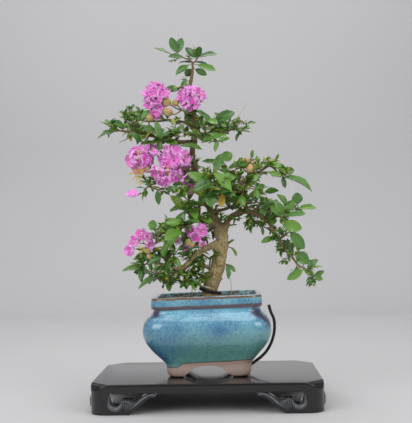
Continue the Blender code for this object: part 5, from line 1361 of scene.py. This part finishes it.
grow_bough("middle_right", {
    "mid_rise": (
        (((27, -14, 247), (27, -10, 259), (27, -8, 271)), 2, 19, 0, 65, "front"),
        (((27, -10, 260), (36, -14, 268), (41, -16, 273)), 1, 14, 45, 50, "front"),
    ),
    "bud_spray": (
        (((49, -15, 255), (50, -16, 265), (48, -15, 279)),),
        (((49, -16, 264), (44, -13, 270)), 1, 13, 0, 60, "up"),
        (((49, -16, 261), (57, -24, 264), (62, -28, 261)), 1, 12, 30, 55, "front"),
    ),
    "mid_right_end": (
        (((86, -12, 263), (91, -12, 258)), 1, 14, 60, 40, "front"),
        (((89, -12, 261), (94, -14, 264)), 1, 13, 70, 45, "front"),
        (((89, -13, 260), (86, -19, 267), (77, -21, 274)), 1, 15, 20, 60, "front"),
    ),
    "mid_right_low": (
        (((42, -16, 251), (51, -24, 246), (60, -28, 244)), 1, 14, 45, 55, "front"),
        (((46, -20, 248), (44, -28, 241), (40, -32, 235)), 2, 16, 0, 60, "front"),
    ),
    "face_big": (
        (((-3, 3, 248), (1, -16, 252), (9, -30, 252), (12, -36, 253)), 1, 29, 20, 75, "front"),
        (((4, -22, 251), (10, -30, 262), (14, -34, 265)), 1, 26, 70, 60, "front"),
        (((5, -24, 251), (6, -34, 244), (11, -38, 239)), 1, 16, 15, 50, "front"),
        (((6, -27, 252), (16, -38, 247), (20, -40, 243)), 1, 21, 10, 60, "front"),
    ),
    "mid_low_front": (
        (((38, 18, 228), (42, -2, 233), (49, -16, 235)), 2, 18, 30, 60, "front"),
        (((41, 6, 231), (31, -8, 235), (28, -14, 239)), 1, 19, 0, 60, "front"),
    ),
    "mid_back_end": (
        (((55, 20, 230), (62, 20, 231), (71, 18, 229)), 1, 15, 40, 55, "up"),
        (((60, 20, 231), (65, 32, 239), (71, 42, 244)), 2, 18, 0, 55, "back"),
    ),
    "back_right": (
        (((14, -9, 244), (27, 14, 251), (42, 36, 258)), 2, 19, 20, 55, "back"),
        (((24, 10, 249), (24, 34, 245), (22, 54, 241)), 2, 18, 0, 55, "back"),
    ),
}, seen=(
    (20, -8, 280, 31, -10, 287, 13), (-3, -8, 279, 22, -11, 276, 7), (73, -27, 263, 87, -29, 260, 7),
    (69, -28, 274, 94, -31, 265, 6), (91, -12, 258, 123, -16, 251, 7),
    (74, -20, 276, 94, -20, 269, 5.5), (91, -14, 265, 103, -15, 266, 9),
    (9, -35, 248, -16, -38, 264, 12), (31, -40, 241, 14.4, -40, 264, 12),
    (7, -37, 224, 7, -39, 239, 13), (32.4, -41, 240, 4, -43, 243.5, 7.5),
    (13, -39, 243, 34, -42, 238, 7),
), limbs=("mid_right", "mid_back"), trunk_span=(205, 262), seed=24, young=0.68, small_leaf=7.5,
   side_every=4.2)

grow_bough("middle_left", {
    "left_mid": (
        (((4, 3, 228), (-5, -14, 227), (-15, -22, 223), (-24, -26, 221)), 3, 24, 80, 55, "front"),
        (((-6, -15, 226), (-8, -22, 217), (-7, -26, 212)), 1, 18, 0, 60, "front"),
        (((-11, -18, 224), (-20, -20, 234), (-24, -22, 238)), 2, 16, 20, 55, "up"),
    ),
    "face_left_low": (
        (((-60, -26, 252), (-66, -24, 249), (-70, -22, 247)), 1, 11, 45, 50, "up"),
        (((-64, -25, 250), (-55, -32, 246), (-43, -32, 245)), 2, 18, 0, 65, "front"),
    ),
    "face_left_stalk": (
        (((-48, -26, 255), (-56, -27, 264), (-73, -26, 283)),),
    ),
    "face_left_top": (
        (((-20, -14, 269), (-24, -20, 270), (-37, -28, 276)),),
        (((-22, -17, 269), (-20, -28, 262), (-19, -33, 252), (-18, -35, 244)), 2, 19, 20, 60, "front"),
    ),
    "back_left": (
        (((-11, 2, 264), (-20, 24, 272), (-29, 46, 281)), 2, 19, 20, 55, "back"),
        (((-17, 18, 270), (-19, 38, 263), (-25, 56, 259)), 2, 18, 0, 55, "back"),
    ),
}, seen=(
    (-6, -21, 228, -38, -25, 225, 9),
), limbs=("face_left",), trunk_span=(222, 268), seed=25, small_leaf=8.0, side_every=5.5)

grow_bough("lower_left", {
    "low_big_left": (
        (((-21, -26, 206), (-23, -34, 208), (-25, -38, 208)), 1, 25, 0, 85, "up"),
        (((-22, -31, 207), (-26, -40, 201), (-27, -42, 197)), 1, 31, 90, 55, "front"),
        (((-22, -29, 206), (-17, -33, 203), (-9, -30, 195)),),
    ),
    "low_left_rise": (
        (((-56, -32, 185), (-56, -34, 194), (-58, -34, 201)), 1, 13, 0, 60, "front"),
        (((-56, -34, 192), (-48, -34, 196), (-42, -34, 200)), 1, 14, 30, 55, "front"),
    ),
    "low_left_bloom": (
        (((-60, -32, 183), (-64, -33, 183), (-74, -34, 185)),),
        (((-62, -33, 183), (-63, -35, 179), (-67, -36, 174)), 1, 12, 60, 60, "up"),
    ),
    "low_left_tip": (
        (((-69, -22, 161), (-73, -22, 157)), 2, 20, 80, 45, "up"),
        (((-72, -22, 158), (-71, -29, 166), (-70, -34, 171)), 1, 16, 0, 60, "front"),
    ),
    "low_left_foot": (
        (((-55, 2, 146), (-59, 0, 145)), 1, 26, 80, 30, "up"),
        (((-57, 1, 145), (-50, -10, 140), (-42, -14, 138)), 1, 15, 30, 60, "front"),
        (((-56, 1, 145), (-65, 12, 150), (-74, 22, 151)), 2, 16, 0, 55, "back"),
    ),
    "low_left_front": (
        (((-44, -20, 158), (-46, -32, 165), (-50, -40, 170)), 2, 19, 45, 60, "front"),
        (((-46, -28, 163), (-36, -36, 170), (-31, -40, 177)), 2, 18, 0, 60, "front"),
    ),
    "low_inner": (
        (((4, -1, 152), (-5, -6, 158), (-13, -9, 166), (-22, -10, 172)), 2, 16, 30, 60, "front"),
        (((2, 2, 141), (-7, -3, 143), (-16, -7, 141), (-25, -9, 138)), 1, 15, 0, 60, "front"),
        (((6, 2, 163), (-3, -6, 170), (-10, -12, 179)), 2, 15, 20, 60, "front"),
        (((-27, -9, 151), (-19, 2, 148), (-9, 6, 147)), 2, 15, 20, 60, "front"),
        (((-23, -3, 150), (-26, -14, 144), (-23, -20, 139)), 2, 15, 20, 60, "front"),
    ),
    "sprout_high": (
        (((18, 2, 180), (27, 4, 178), (31, 5, 176)), 1, 10, 45, 50, "up"),
    ),
    "sprout_low": (
        (((17, 2, 163), (23, 5, 158), (25, 6, 155)), 1, 13, 20, 50, "front"),
    ),
    "back_low": (
        (((13, 2, 204), (1, 24, 196), (-14, 46, 187)), 2, 19, 20, 55, "back"),
        (((4, 18, 199), (11, 40, 204), (19, 58, 211)), 2, 18, 0, 55, "back"),
    ),
}, seen=(
    (-24, -37, 207, -46, -39, 208, 9), (-25, -41, 196, -49, -45, 178, 9),
    (-54, -34, 204, -64, -35, 206, 12), (-71, -22, 155, -94, -25, 155, 6),
    (-65, -33, 172, -75, -34, 163, 7), (-55, 1, 145, -79, -2, 134, 6), (29, 5, 178, 36, 3, 169, 3.6),
    (24, 3, 181, 33, 2, 186, 3), (24, 5, 158, 33.5, 2, 151, 5), (23, 3, 156, 27, -2, 143.5, 5.5),
), limbs=("left_low_inner", "left_low_mid", "left_low"), trunk_span=(203, 222), seed=26,
   small_leaf=8.0, side_every=4.0)

grow_bough("cascade", {
    "cascade_start": (
        (((44, 1, 219), (46, -8, 226), (50, -12, 231)), 1, 13, 0, 55, "up"),
        (((45, -5, 224), (56, -16, 223), (65, -20, 222)), 1, 14, 45, 55, "front"),
    ),
    "cascade_hang": (
        (((49, 0, 220), (54, 6, 212), (66, 8, 202), (77, 8, 199)), 3, 11, 0, 55, "up"),
    ),
    "cascade_shoulder": (
        (((73, -6, 207), (82, -16, 212), (92, -20, 213)), 3, 24, 60, 60, "front"),
        (((82, -16, 212), (91, -10, 220), (99, -8, 225), (107, -8, 226)), 1, 15, 90, 45, "front"),
    ),
    "cascade_mid": (
        (((85, -8, 186), (92, -16, 191), (96, -18, 195)), 2, 22, 90, 55, "front"),
        (((88, -13, 189), (81, -16, 188), (78, -16, 187)), 1, 15, 20, 40, "up"),
    ),
    "cascade_back": (
        (((66, -4, 213), (71, 14, 219), (80, 32, 222)), 2, 18, 0, 55, "back"),
    ),
    "cascade_low": (
        (((99, -6, 167), (103, -12, 170), (106, -14, 171)), 2, 18, 60, 60, "front"),
        (((101, -9, 168), (98, 6, 173), (97, 16, 178)), 2, 16, 0, 55, "back"),
    ),
    "cascade_tip": (
        (((114, -4, 152), (118, -4, 150)), 1, 18, 80, 70, "front"),
        (((116, -4, 151), (121, -5, 147), (126, -6, 144)), 1, 11, 80, 60, "front"),
    ),
}, seen=(
    (87, -20, 205, 109, -22, 199, 14), (93, -20, 214, 114, -22, 214, 7),
    (93, -18, 212, 76, -21, 230, 14), (108, -8, 222, 127, -10, 224, 7),
    (107, -8, 226, 107, -10, 239, 13), (97, -8, 226, 84, -11, 237, 7),
    (97, -17, 196, 112, -20, 177, 13), (80, -16, 189, 65, -18, 184, 7),
    (103, -11, 172, 117, -14, 159, 14), (112, -14, 151, 94, -17, 141, 10),
    (113, -4, 150, 124, -5, 146, 7), (124, -6, 144, 134, -7, 139, 7), (125, -6, 144, 136, -7, 148, 6),
), limbs=("cascade",), trunk_span=(0, 0), seed=27, young=0.42, small_leaf=7.0, side_every=3.9)


# What stands bare: twig ends that lost their leaves, two pale dry threads and, in the grit, a dry
# stalk and a thread of root. One leaf on the middle right has turned yellow.
BARE_TWIGS = (
    ((22, -6, 314), (30.4, -6, 318.8), (41, -8, 321), (50.4, -10, 326)),
    ((-83.4, -18, 309.2), (-91, -18, 305), (-98.7, -18, 301.9)),
    ((9, -12, 318), (15, -14, 325), (17, -16, 333)), ((-28, -18, 308), (-33, -22, 300), (-40, -24, 297)),
)
DRY_THREADS = (
    ((32.9, -6, 323.4), (42.4, -8, 333.5), (50.7, -10, 345.9)),
    ((-93.7, -16, 336.4), (-88.5, -16, 331), (-84.6, -16, 324.6)),
    ((-16.9, -16, 124), (-16.1, -18, 133.8), (-11, -17, 131), (-6.5, -16, 126)),
    ((26.7, -12, 144.9), (28.2, -13, 136), (28.7, -14, 124)),
)
dry_stalk = start_material("dry_stalk", {"Base Color": "#b9a47e", "Roughness": 0.8})[0]
for piece_name, routes, half, finish, sides in (
    ("bare_twigs", BARE_TWIGS, 0.55, twig_bark, 6), ("dry_threads", DRY_THREADS, 0.36, dry_stalk, 5),
):
    lines = [tapered(route, 2.5, (half * 1.3, half * 0.6)) for route in routes]
    seat(draw_lines(piece_name, lines, finish, sides), "crepe_myrtle_bark")
YELLOW_LEAF = (20.5, -31, 240)
turn = leaf_turn(Vector((-0.15, -0.2, -1)), Vector((0.3, -1, 0.1)))
yellow_seat = (YELLOW_LEAF, turn, (8.0, 16.0, 16.0), 1.0, 0)
seat(set_forms("yellow_leaf", [yellow_seat], [leaf_form(*LEAF_FORMS[0])], leaf), "crepe_myrtle_leaf")


# The blooms: heads of a few flowers. Each flower has six crinkled petals on narrow claws, a ribbed
# green cup behind them and yellow stamens. A flower is its root, the way it looks and its reach.
BLOOMS = {
    "bloom_1": (
        ((-54.5, -15, 366), (0.10, -0.35, 0.93), 11.0), ((-49, -17, 357), (0.60, -0.70, 0.35), 11.0),
        ((-60, -17, 356), (-0.65, -0.70, 0.30), 12.5), ((-55, -18, 352), (-0.20, -0.95, -0.10), 12.0),
        ((-55, -17, 342), (-0.10, -0.80, -0.50), 9.5), ((-55.5, -16, 335), (0.00, -0.70, -0.70), 8.0),
        ((-62, -17, 348), (-0.60, -0.75, -0.30), 9.0), ((-49, -17, 347), (0.50, -0.75, -0.30), 8.5),
    ),
    "bloom_2": (
        ((-22, -17, 353), (-0.70, -0.65, 0.10), 10.5), ((-8, -18, 354), (0.70, -0.65, 0.15), 11.0),
        ((-14, -18, 359), (0.10, -0.60, 0.80), 9.0), ((-12, -19, 346), (0.05, -0.80, -0.50), 10.0),
        ((-14, -20, 353), (0.00, -1.00, 0.00), 10.5), ((-20, -18, 347), (-0.50, -0.75, -0.40), 8.0),
    ),
    "bloom_3": (
        ((-80.5, -28, 282), (-0.80, -0.50, 0.00), 11.0), ((-75, -29, 289), (-0.30, -0.60, 0.70), 10.5),
        ((-62, -28, 290), (0.50, -0.70, 0.50), 9.5), ((-68, -30, 280), (0.40, -0.80, -0.30), 9.5),
        ((-75, -30, 274), (-0.30, -0.75, -0.55), 10.5), ((-73, -31, 282), (0.00, -1.00, 0.10), 12.0),
        ((-68, -23, 284), (0.21, 0.93, 0.31), 10.6),
    ),
    "bloom_4": (
        ((-43, -31, 287), (-0.30, -0.60, 0.70), 9.5), ((-33, -31, 288), (0.30, -0.65, 0.70), 10.5),
        ((-25, -31, 280), (0.80, -0.55, 0.30), 11.5), ((-35, -34, 279), (0.00, -1.00, 0.10), 12.5),
        ((-27, -31, 272), (0.70, -0.65, -0.30), 11.0), ((-43, -32, 277), (-0.40, -0.85, -0.10), 9.5),
        ((-52, -31, 265.5), (-0.70, -0.65, -0.20), 9.5), ((-43, -32, 263), (-0.10, -0.95, -0.30), 10.0),
        ((-45, -31, 256), (-0.20, -0.60, -0.75), 9.0), ((-35, -31, 262), (0.50, -0.70, -0.50), 9.5),
        ((-37, -23, 275), (0.00, 0.98, 0.20), 11.0), ((-20, -30, 258), (0.50, -0.70, -0.40), 9.0),
        ((-18, -28, 248), (0.30, -0.80, -0.50), 7.0),
    ),
    "bloom_5": (
        ((-16, -32, 197), (-0.60, -0.75, 0.30), 8.5), ((-6, -32, 197.5), (0.65, -0.70, 0.30), 8.5),
        ((-10, -33, 194), (0.00, -0.90, -0.30), 7.5), ((-30, -31, 186), (-0.40, -0.80, 0.40), 5.5),
        ((-24, -31, 179), (0.20, -0.85, -0.50), 4.5), ((-4.5, -32, 184), (0.50, -0.75, -0.40), 5.5),
    ),
    "bloom_6": (
        ((-67, -37, 191), (0.40, -0.70, 0.50), 8.5), ((-73.5, -37, 192.5), (-0.30, -0.70, 0.60), 8.0),
        ((-79, -37, 186), (-0.60, -0.70, 0.20), 8.5), ((-84, -37, 178), (-0.80, -0.55, -0.30), 8.5),
        ((-64, -37, 183), (0.50, -0.80, -0.10), 7.0),
    ),
}
# One petal is left hanging on a thread below the second flower head from the left
LONE_PETAL = ((-81, -29, 249), (-0.1, -1.0, 0.1), 12.5)
LONE_PETAL_THREAD = ((-72, -31, 268), (-77, -32, 260), (-81, -29, 249))
# Tufts of long stamens on heads that lost petals: where each springs, two corners of its spread and
# how many there are
STAMEN_TUFTS = (
    ((-68, -33, 270), (-88, -34, 267), (-73, -34, 247), 24),
    ((-71, -40, 290), (-77, -44, 288), (-72, -44, 276), 6),
    ((-40, -37, 273), (-44, -41, 268), (-37, -41, 264), 5),
    ((-65, -38, 174), (-77, -40, 186), (-74, -40, 174), 12),
)
PETALS = 6
PETAL_ROWS = 12
PETAL_COLUMNS = 21
PETAL_THICKNESS = 0.16
CUP_SIZE = (2.4, 5.5)  # radius and length of the cup behind a flower

# Petal: thin, matt, mauve pink in flushes of 8 mm, light shines through. Paler towards its frilled edge and
# darker at its claw: painted light on the frills and painted shade in the flower's heart
petal, tree, shader = start_material(
    "crepe_myrtle_petal", {"Roughness": 0.6, "Subsurface Weight": 0.1, "Sheen Weight": 0.4,
                           "Subsurface Radius": (0.002, 0.001, 0.0015), "Sheen Roughness": 0.45}
)
tint = add(tree, "ShaderNodeAttribute", attribute_name="tint").outputs["Fac"]
place = add(tree, "ShaderNodeTexCoord").outputs["Object"]
flush = add(tree, "ShaderNodeTexNoise", {"Vector": place, "Scale": 130.0, "Detail": 4.0})
# The tint brings in each petal's painted light towards its edge and painted shade at its claw
amount = add(tree, "ShaderNodeMath", {0: flush, 1: 0.8, 2: tint}, operation="MULTIPLY_ADD")
fill(shader, {"Base Color": lay(tree, "#f567d6", "#ffcafd", amount, 0.35, 1.3)})

# Green cups and buds, flushed with pink in patches of 5 to 6 mm
cup_skin, tree, shader = start_material(
    "calyx", {"Roughness": 0.5, "Subsurface Weight": 0.1, "Subsurface Radius": (0.001, 0.001, 0.0005)}
)
place = add(tree, "ShaderNodeTexCoord").outputs["Object"]
flush = add(tree, "ShaderNodeTexNoise", {"Vector": place, "Scale": 180.0, "Detail": 2.0})
fill(shader, {"Base Color": lay(tree, "#aaa95c", "#e39f8e", flush, 0.42, 0.68)})

# Stamens: yellow dust on their heads, pale threads
pollen = start_material("stamens", {"Base Color": "#dcc565", "Roughness": 0.7})[0]


def turn_to(look):
    """The turn that brings Z round to a direction."""
    return Vector(look).to_track_quat("Z", "Y").to_matrix()


def petal_shape(rng, root, turn, around, reach):
    """One closed crinkled petal of a flower that looks along the turn's Z."""
    opening = rng.uniform(0.3, 1.2)
    width = reach * rng.uniform(1.05, 1.35)
    seed = Vector((rng.uniform(-50, 50), rng.uniform(-50, 50), rng.uniform(-50, 50)))
    waves = rng.uniform(3.0, 4.6)
    phase = rng.uniform(0, math.tau)
    points = []
    painted_paleness = []
    spin = Matrix.Rotation(around, 3, "Z") @ Matrix.Rotation(rng.gauss(0, 0.22), 3, "Y")
    spin = spin @ Matrix.Rotation(rng.gauss(0, 0.4), 3, "X")
    for lift in (PETAL_THICKNESS / 2, -PETAL_THICKNESS / 2):
        for i in range(PETAL_ROWS):
            v = i / (PETAL_ROWS - 1)
            blade = max(0.0, (v - 0.2) / 0.8)
            half = width / 2 * (0.08 + 0.92 * math.sin(math.pi / 2 * min(1, blade * 1.6)) ** 0.9)
            half *= math.sqrt(max(0.0, 1 - max(0.0, (v - 0.72) / 0.3) ** 2))
            for k in range(PETAL_COLUMNS):
                u = 2 * k / (PETAL_COLUMNS - 1) - 1
                edge = blade * (0.3 + 0.7 * max(abs(u), v**3))
                out = reach * v * (1 - 0.12 * abs(u) * blade)
                frill = math.sin(u * math.pi * waves + phase + v * 2) * edge * reach * 0.15
                crease = noise.noise(Vector((u * 2.6, v * 4.5, 0)) + seed) * edge * reach * 0.45
                crease += noise.noise(Vector((u * 5.5, v * 8, 3)) + seed) * blade * reach * 0.28
                rise = reach * (0.75 * v - 0.5 * opening * v * v) + frill + crease
                side = u * half + noise.noise(Vector((v * 4, u * 3, 7)) + seed) * reach * 0.16 * blade
                spot = spin @ Vector((out, side, rise + lift))
                points.append(root + turn @ spot)
                # Paler towards the edge and tip, darkest at the claw: painted light and shade
                painted_paleness.append(max(abs(u), v**3) * blade)
    under = PETAL_ROWS * PETAL_COLUMNS
    faces = sheet_faces(PETAL_ROWS, PETAL_COLUMNS)
    for a in (0, under - PETAL_COLUMNS):
        for k in range(a, a + PETAL_COLUMNS - 1):
            faces.append((k, k + 1, under + k + 1, under + k))
    return points, faces, painted_paleness


# The cup's shape: share of its length and of its radius
CUP_PROFILE = ((0.0, 0.3), (0.12, 0.72), (0.35, 1.0), (0.62, 0.95), (0.85, 0.6), (1.0, 0.12))
CUP_SIDES = 18
CUP_RIBS = 6


def cup_shape(place, look, radius, length):
    """A ribbed cup or bud, closed, that looks in a direction from behind its place."""
    turn = turn_to(look)
    rings = []
    for share, wide in CUP_PROFILE:
        ring = []
        for k in range(CUP_SIDES):
            angle = math.tau * k / CUP_SIDES
            ribbed = radius * wide * (1 + 0.09 * math.cos(CUP_RIBS * angle))
            spot = Vector((ribbed * math.cos(angle), ribbed * math.sin(angle), length * (share - 0.75)))
            ring.append(Vector(place) + turn @ spot)
        rings.append(ring)
    return loft(rings)


def put_petals(name, points, faces, tints):
    """Petals as a piece, with their tints, which carry painted light and shade."""
    piece = put(name, points, faces, petal, 80)
    give(piece.data, "tint", "FLOAT", tints)
    return piece


for order, (bloom, flowers) in enumerate(BLOOMS.items()):
    rng = random.Random(60 + order)
    petals = []
    tints = []
    threads = []
    for place, look, reach in flowers:
        root = Vector(place)
        turn = turn_to(look)
        start = rng.uniform(0, math.tau)
        for k in range(PETALS):
            around = start + math.tau * (k + rng.uniform(-0.2, 0.2)) / PETALS
            *shape, painted_paleness = petal_shape(rng, root, turn, around, reach * rng.uniform(0.85, 1.05))
            petals.append(shape)
            own = rng.uniform(0.0, 0.5)
            # Each petal's own tint, paler towards its frilled edge as painted light
            tints += [own + 0.65 * pale**2 for pale in painted_paleness]
        for _ in range(2):
            lean = Vector((rng.gauss(0, 0.5), rng.gauss(0, 0.5), 1)).normalized()
            tip = root + turn @ (lean * reach * rng.uniform(0.4, 0.7))
            threads.append(([root, root.lerp(tip, 0.6), tip, tip + turn @ Vector((0, 0, 0.6))],
                            (0.12, 0.1, 0.3, 0.25)))
    seat(put_petals(bloom + "_petals", *joined(petals), tints), "crepe_myrtle_petal", bloom)
    cups = joined([cup_shape(place, look, *CUP_SIZE) for place, look, _ in flowers])
    seat(put(bloom + "_cups", *cups, cup_skin, 50), "crepe_myrtle_leaf")
    seat(draw_lines(bloom + "_stamens", threads, pollen, 5), "crepe_myrtle_petal")


# What is left of flowers and what is still to open: a lone petal on its thread, tufts of stamens,
# ribbed cups that lost their petals beside the heads, and plump buds, flushed where the sun met them.
rng = random.Random(71)
root, look, reach = LONE_PETAL
*lone, painted_paleness = petal_shape(rng, Vector(root), turn_to(look), -math.pi / 2, reach)
# Its tint: paler towards the frilled edge as painted light, darker at the claw as painted shade
seat(put_petals("lone_petal", *lone, [0.3 + 0.5 * pale for pale in painted_paleness]), "crepe_myrtle_petal")
threads = [tapered(LONE_PETAL_THREAD, 2.0, (0.12, 0.12))]
for spring, corner, other, count in STAMEN_TUFTS:
    spring = Vector(spring)
    for k in range(count):
        tip = Vector(corner).lerp(Vector(other), (k + rng.uniform(0.2, 0.8)) / count)
        tip = spring.lerp(tip, rng.uniform(0.55, 1.0)) + Vector((rng.gauss(0, 0.8), rng.gauss(0, 1.2), 0))
        bow = spring.lerp(tip, 0.55) + Vector((0, -1.5, rng.uniform(0.5, 2.5)))
        line = smooth_route((spring, bow, tip), 2.5)
        threads.append((line + [line[-1] + (line[-1] - line[-2]).normalized() * 1.1],
                        [0.17] * (len(line) - 1) + [0.6, 0.5]))
seat(draw_lines("stamen_tufts", threads, pollen, 5), "crepe_myrtle_petal")

BUD_PLACES = (
    ((52.7, -23, 271), (0.0, -0.3, 0.95), 5.0), ((48.5, -23, 279.5), (-0.7, -0.3, 0.6), 2.8),
    ((57, -20, 276), (0.8, 0.2, 0.6), 2.4), ((49, -17, 270), (-0.7, 0.5, 0.4), 2.6),
    ((-64, -20, 331), (-0.4, -0.3, 0.8), 4.2), ((-32, -19, 349), (0.1, -0.5, 0.85), 4.0),
)
CUP_PLACES = (
    ((-46, -19, 349), (-0.9, -0.3, 0.35), 4.7), ((-44, -19, 337.5), (-0.85, -0.35, 0.4), 4.7),
    ((-65.5, -32, 271), (-0.2, -0.5, 0.85), 3.4), ((-41, -38, 268), (0.1, -0.7, 0.6), 2.8),
    ((-68, -38, 178), (-0.8, -0.3, 0.55), 3.8), ((-65, -36, 171), (-0.7, -0.3, 0.7), 3.0),
    ((-19, -38, 187), (0.2, -0.6, 0.75), 3.8), ((-14, -38, 184), (0.5, -0.6, 0.6), 3.0),
)
STALKS = (
    ((52.7, -22, 266), (54, -18, 261), (54, -14, 258)), ((57, -20, 274), (56, -17, 266), (56, -14, 260)),
    ((-64, -20, 328), (-63, -19, 321), (-62, -18, 311)), ((-32, -18, 346), (-24, -13, 338), (-11, -3, 333)),
    ((-42, -18, 347), (-34, -16, 342), (-26, -14, 338)), ((-41, -18, 334), (-33, -15, 334), (-26, -14, 338)),
)
stalks = [tapered(route, 2.0, (0.7, 0.85)) for route in STALKS]
seat(draw_lines("bud_stalks", stalks, twig_bark, 6), "crepe_myrtle_bark")
for piece_name, places, long, node in (
    ("buds", BUD_PLACES, 2.2, ("bud_cluster",)), ("bare_cups", CUP_PLACES, 2.6, ()),
):
    shape = joined([cup_shape(place, look, radius, radius * long) for place, look, radius in places])
    seat(put(piece_name, *shape, cup_skin, 50), "crepe_myrtle_petal", *node)
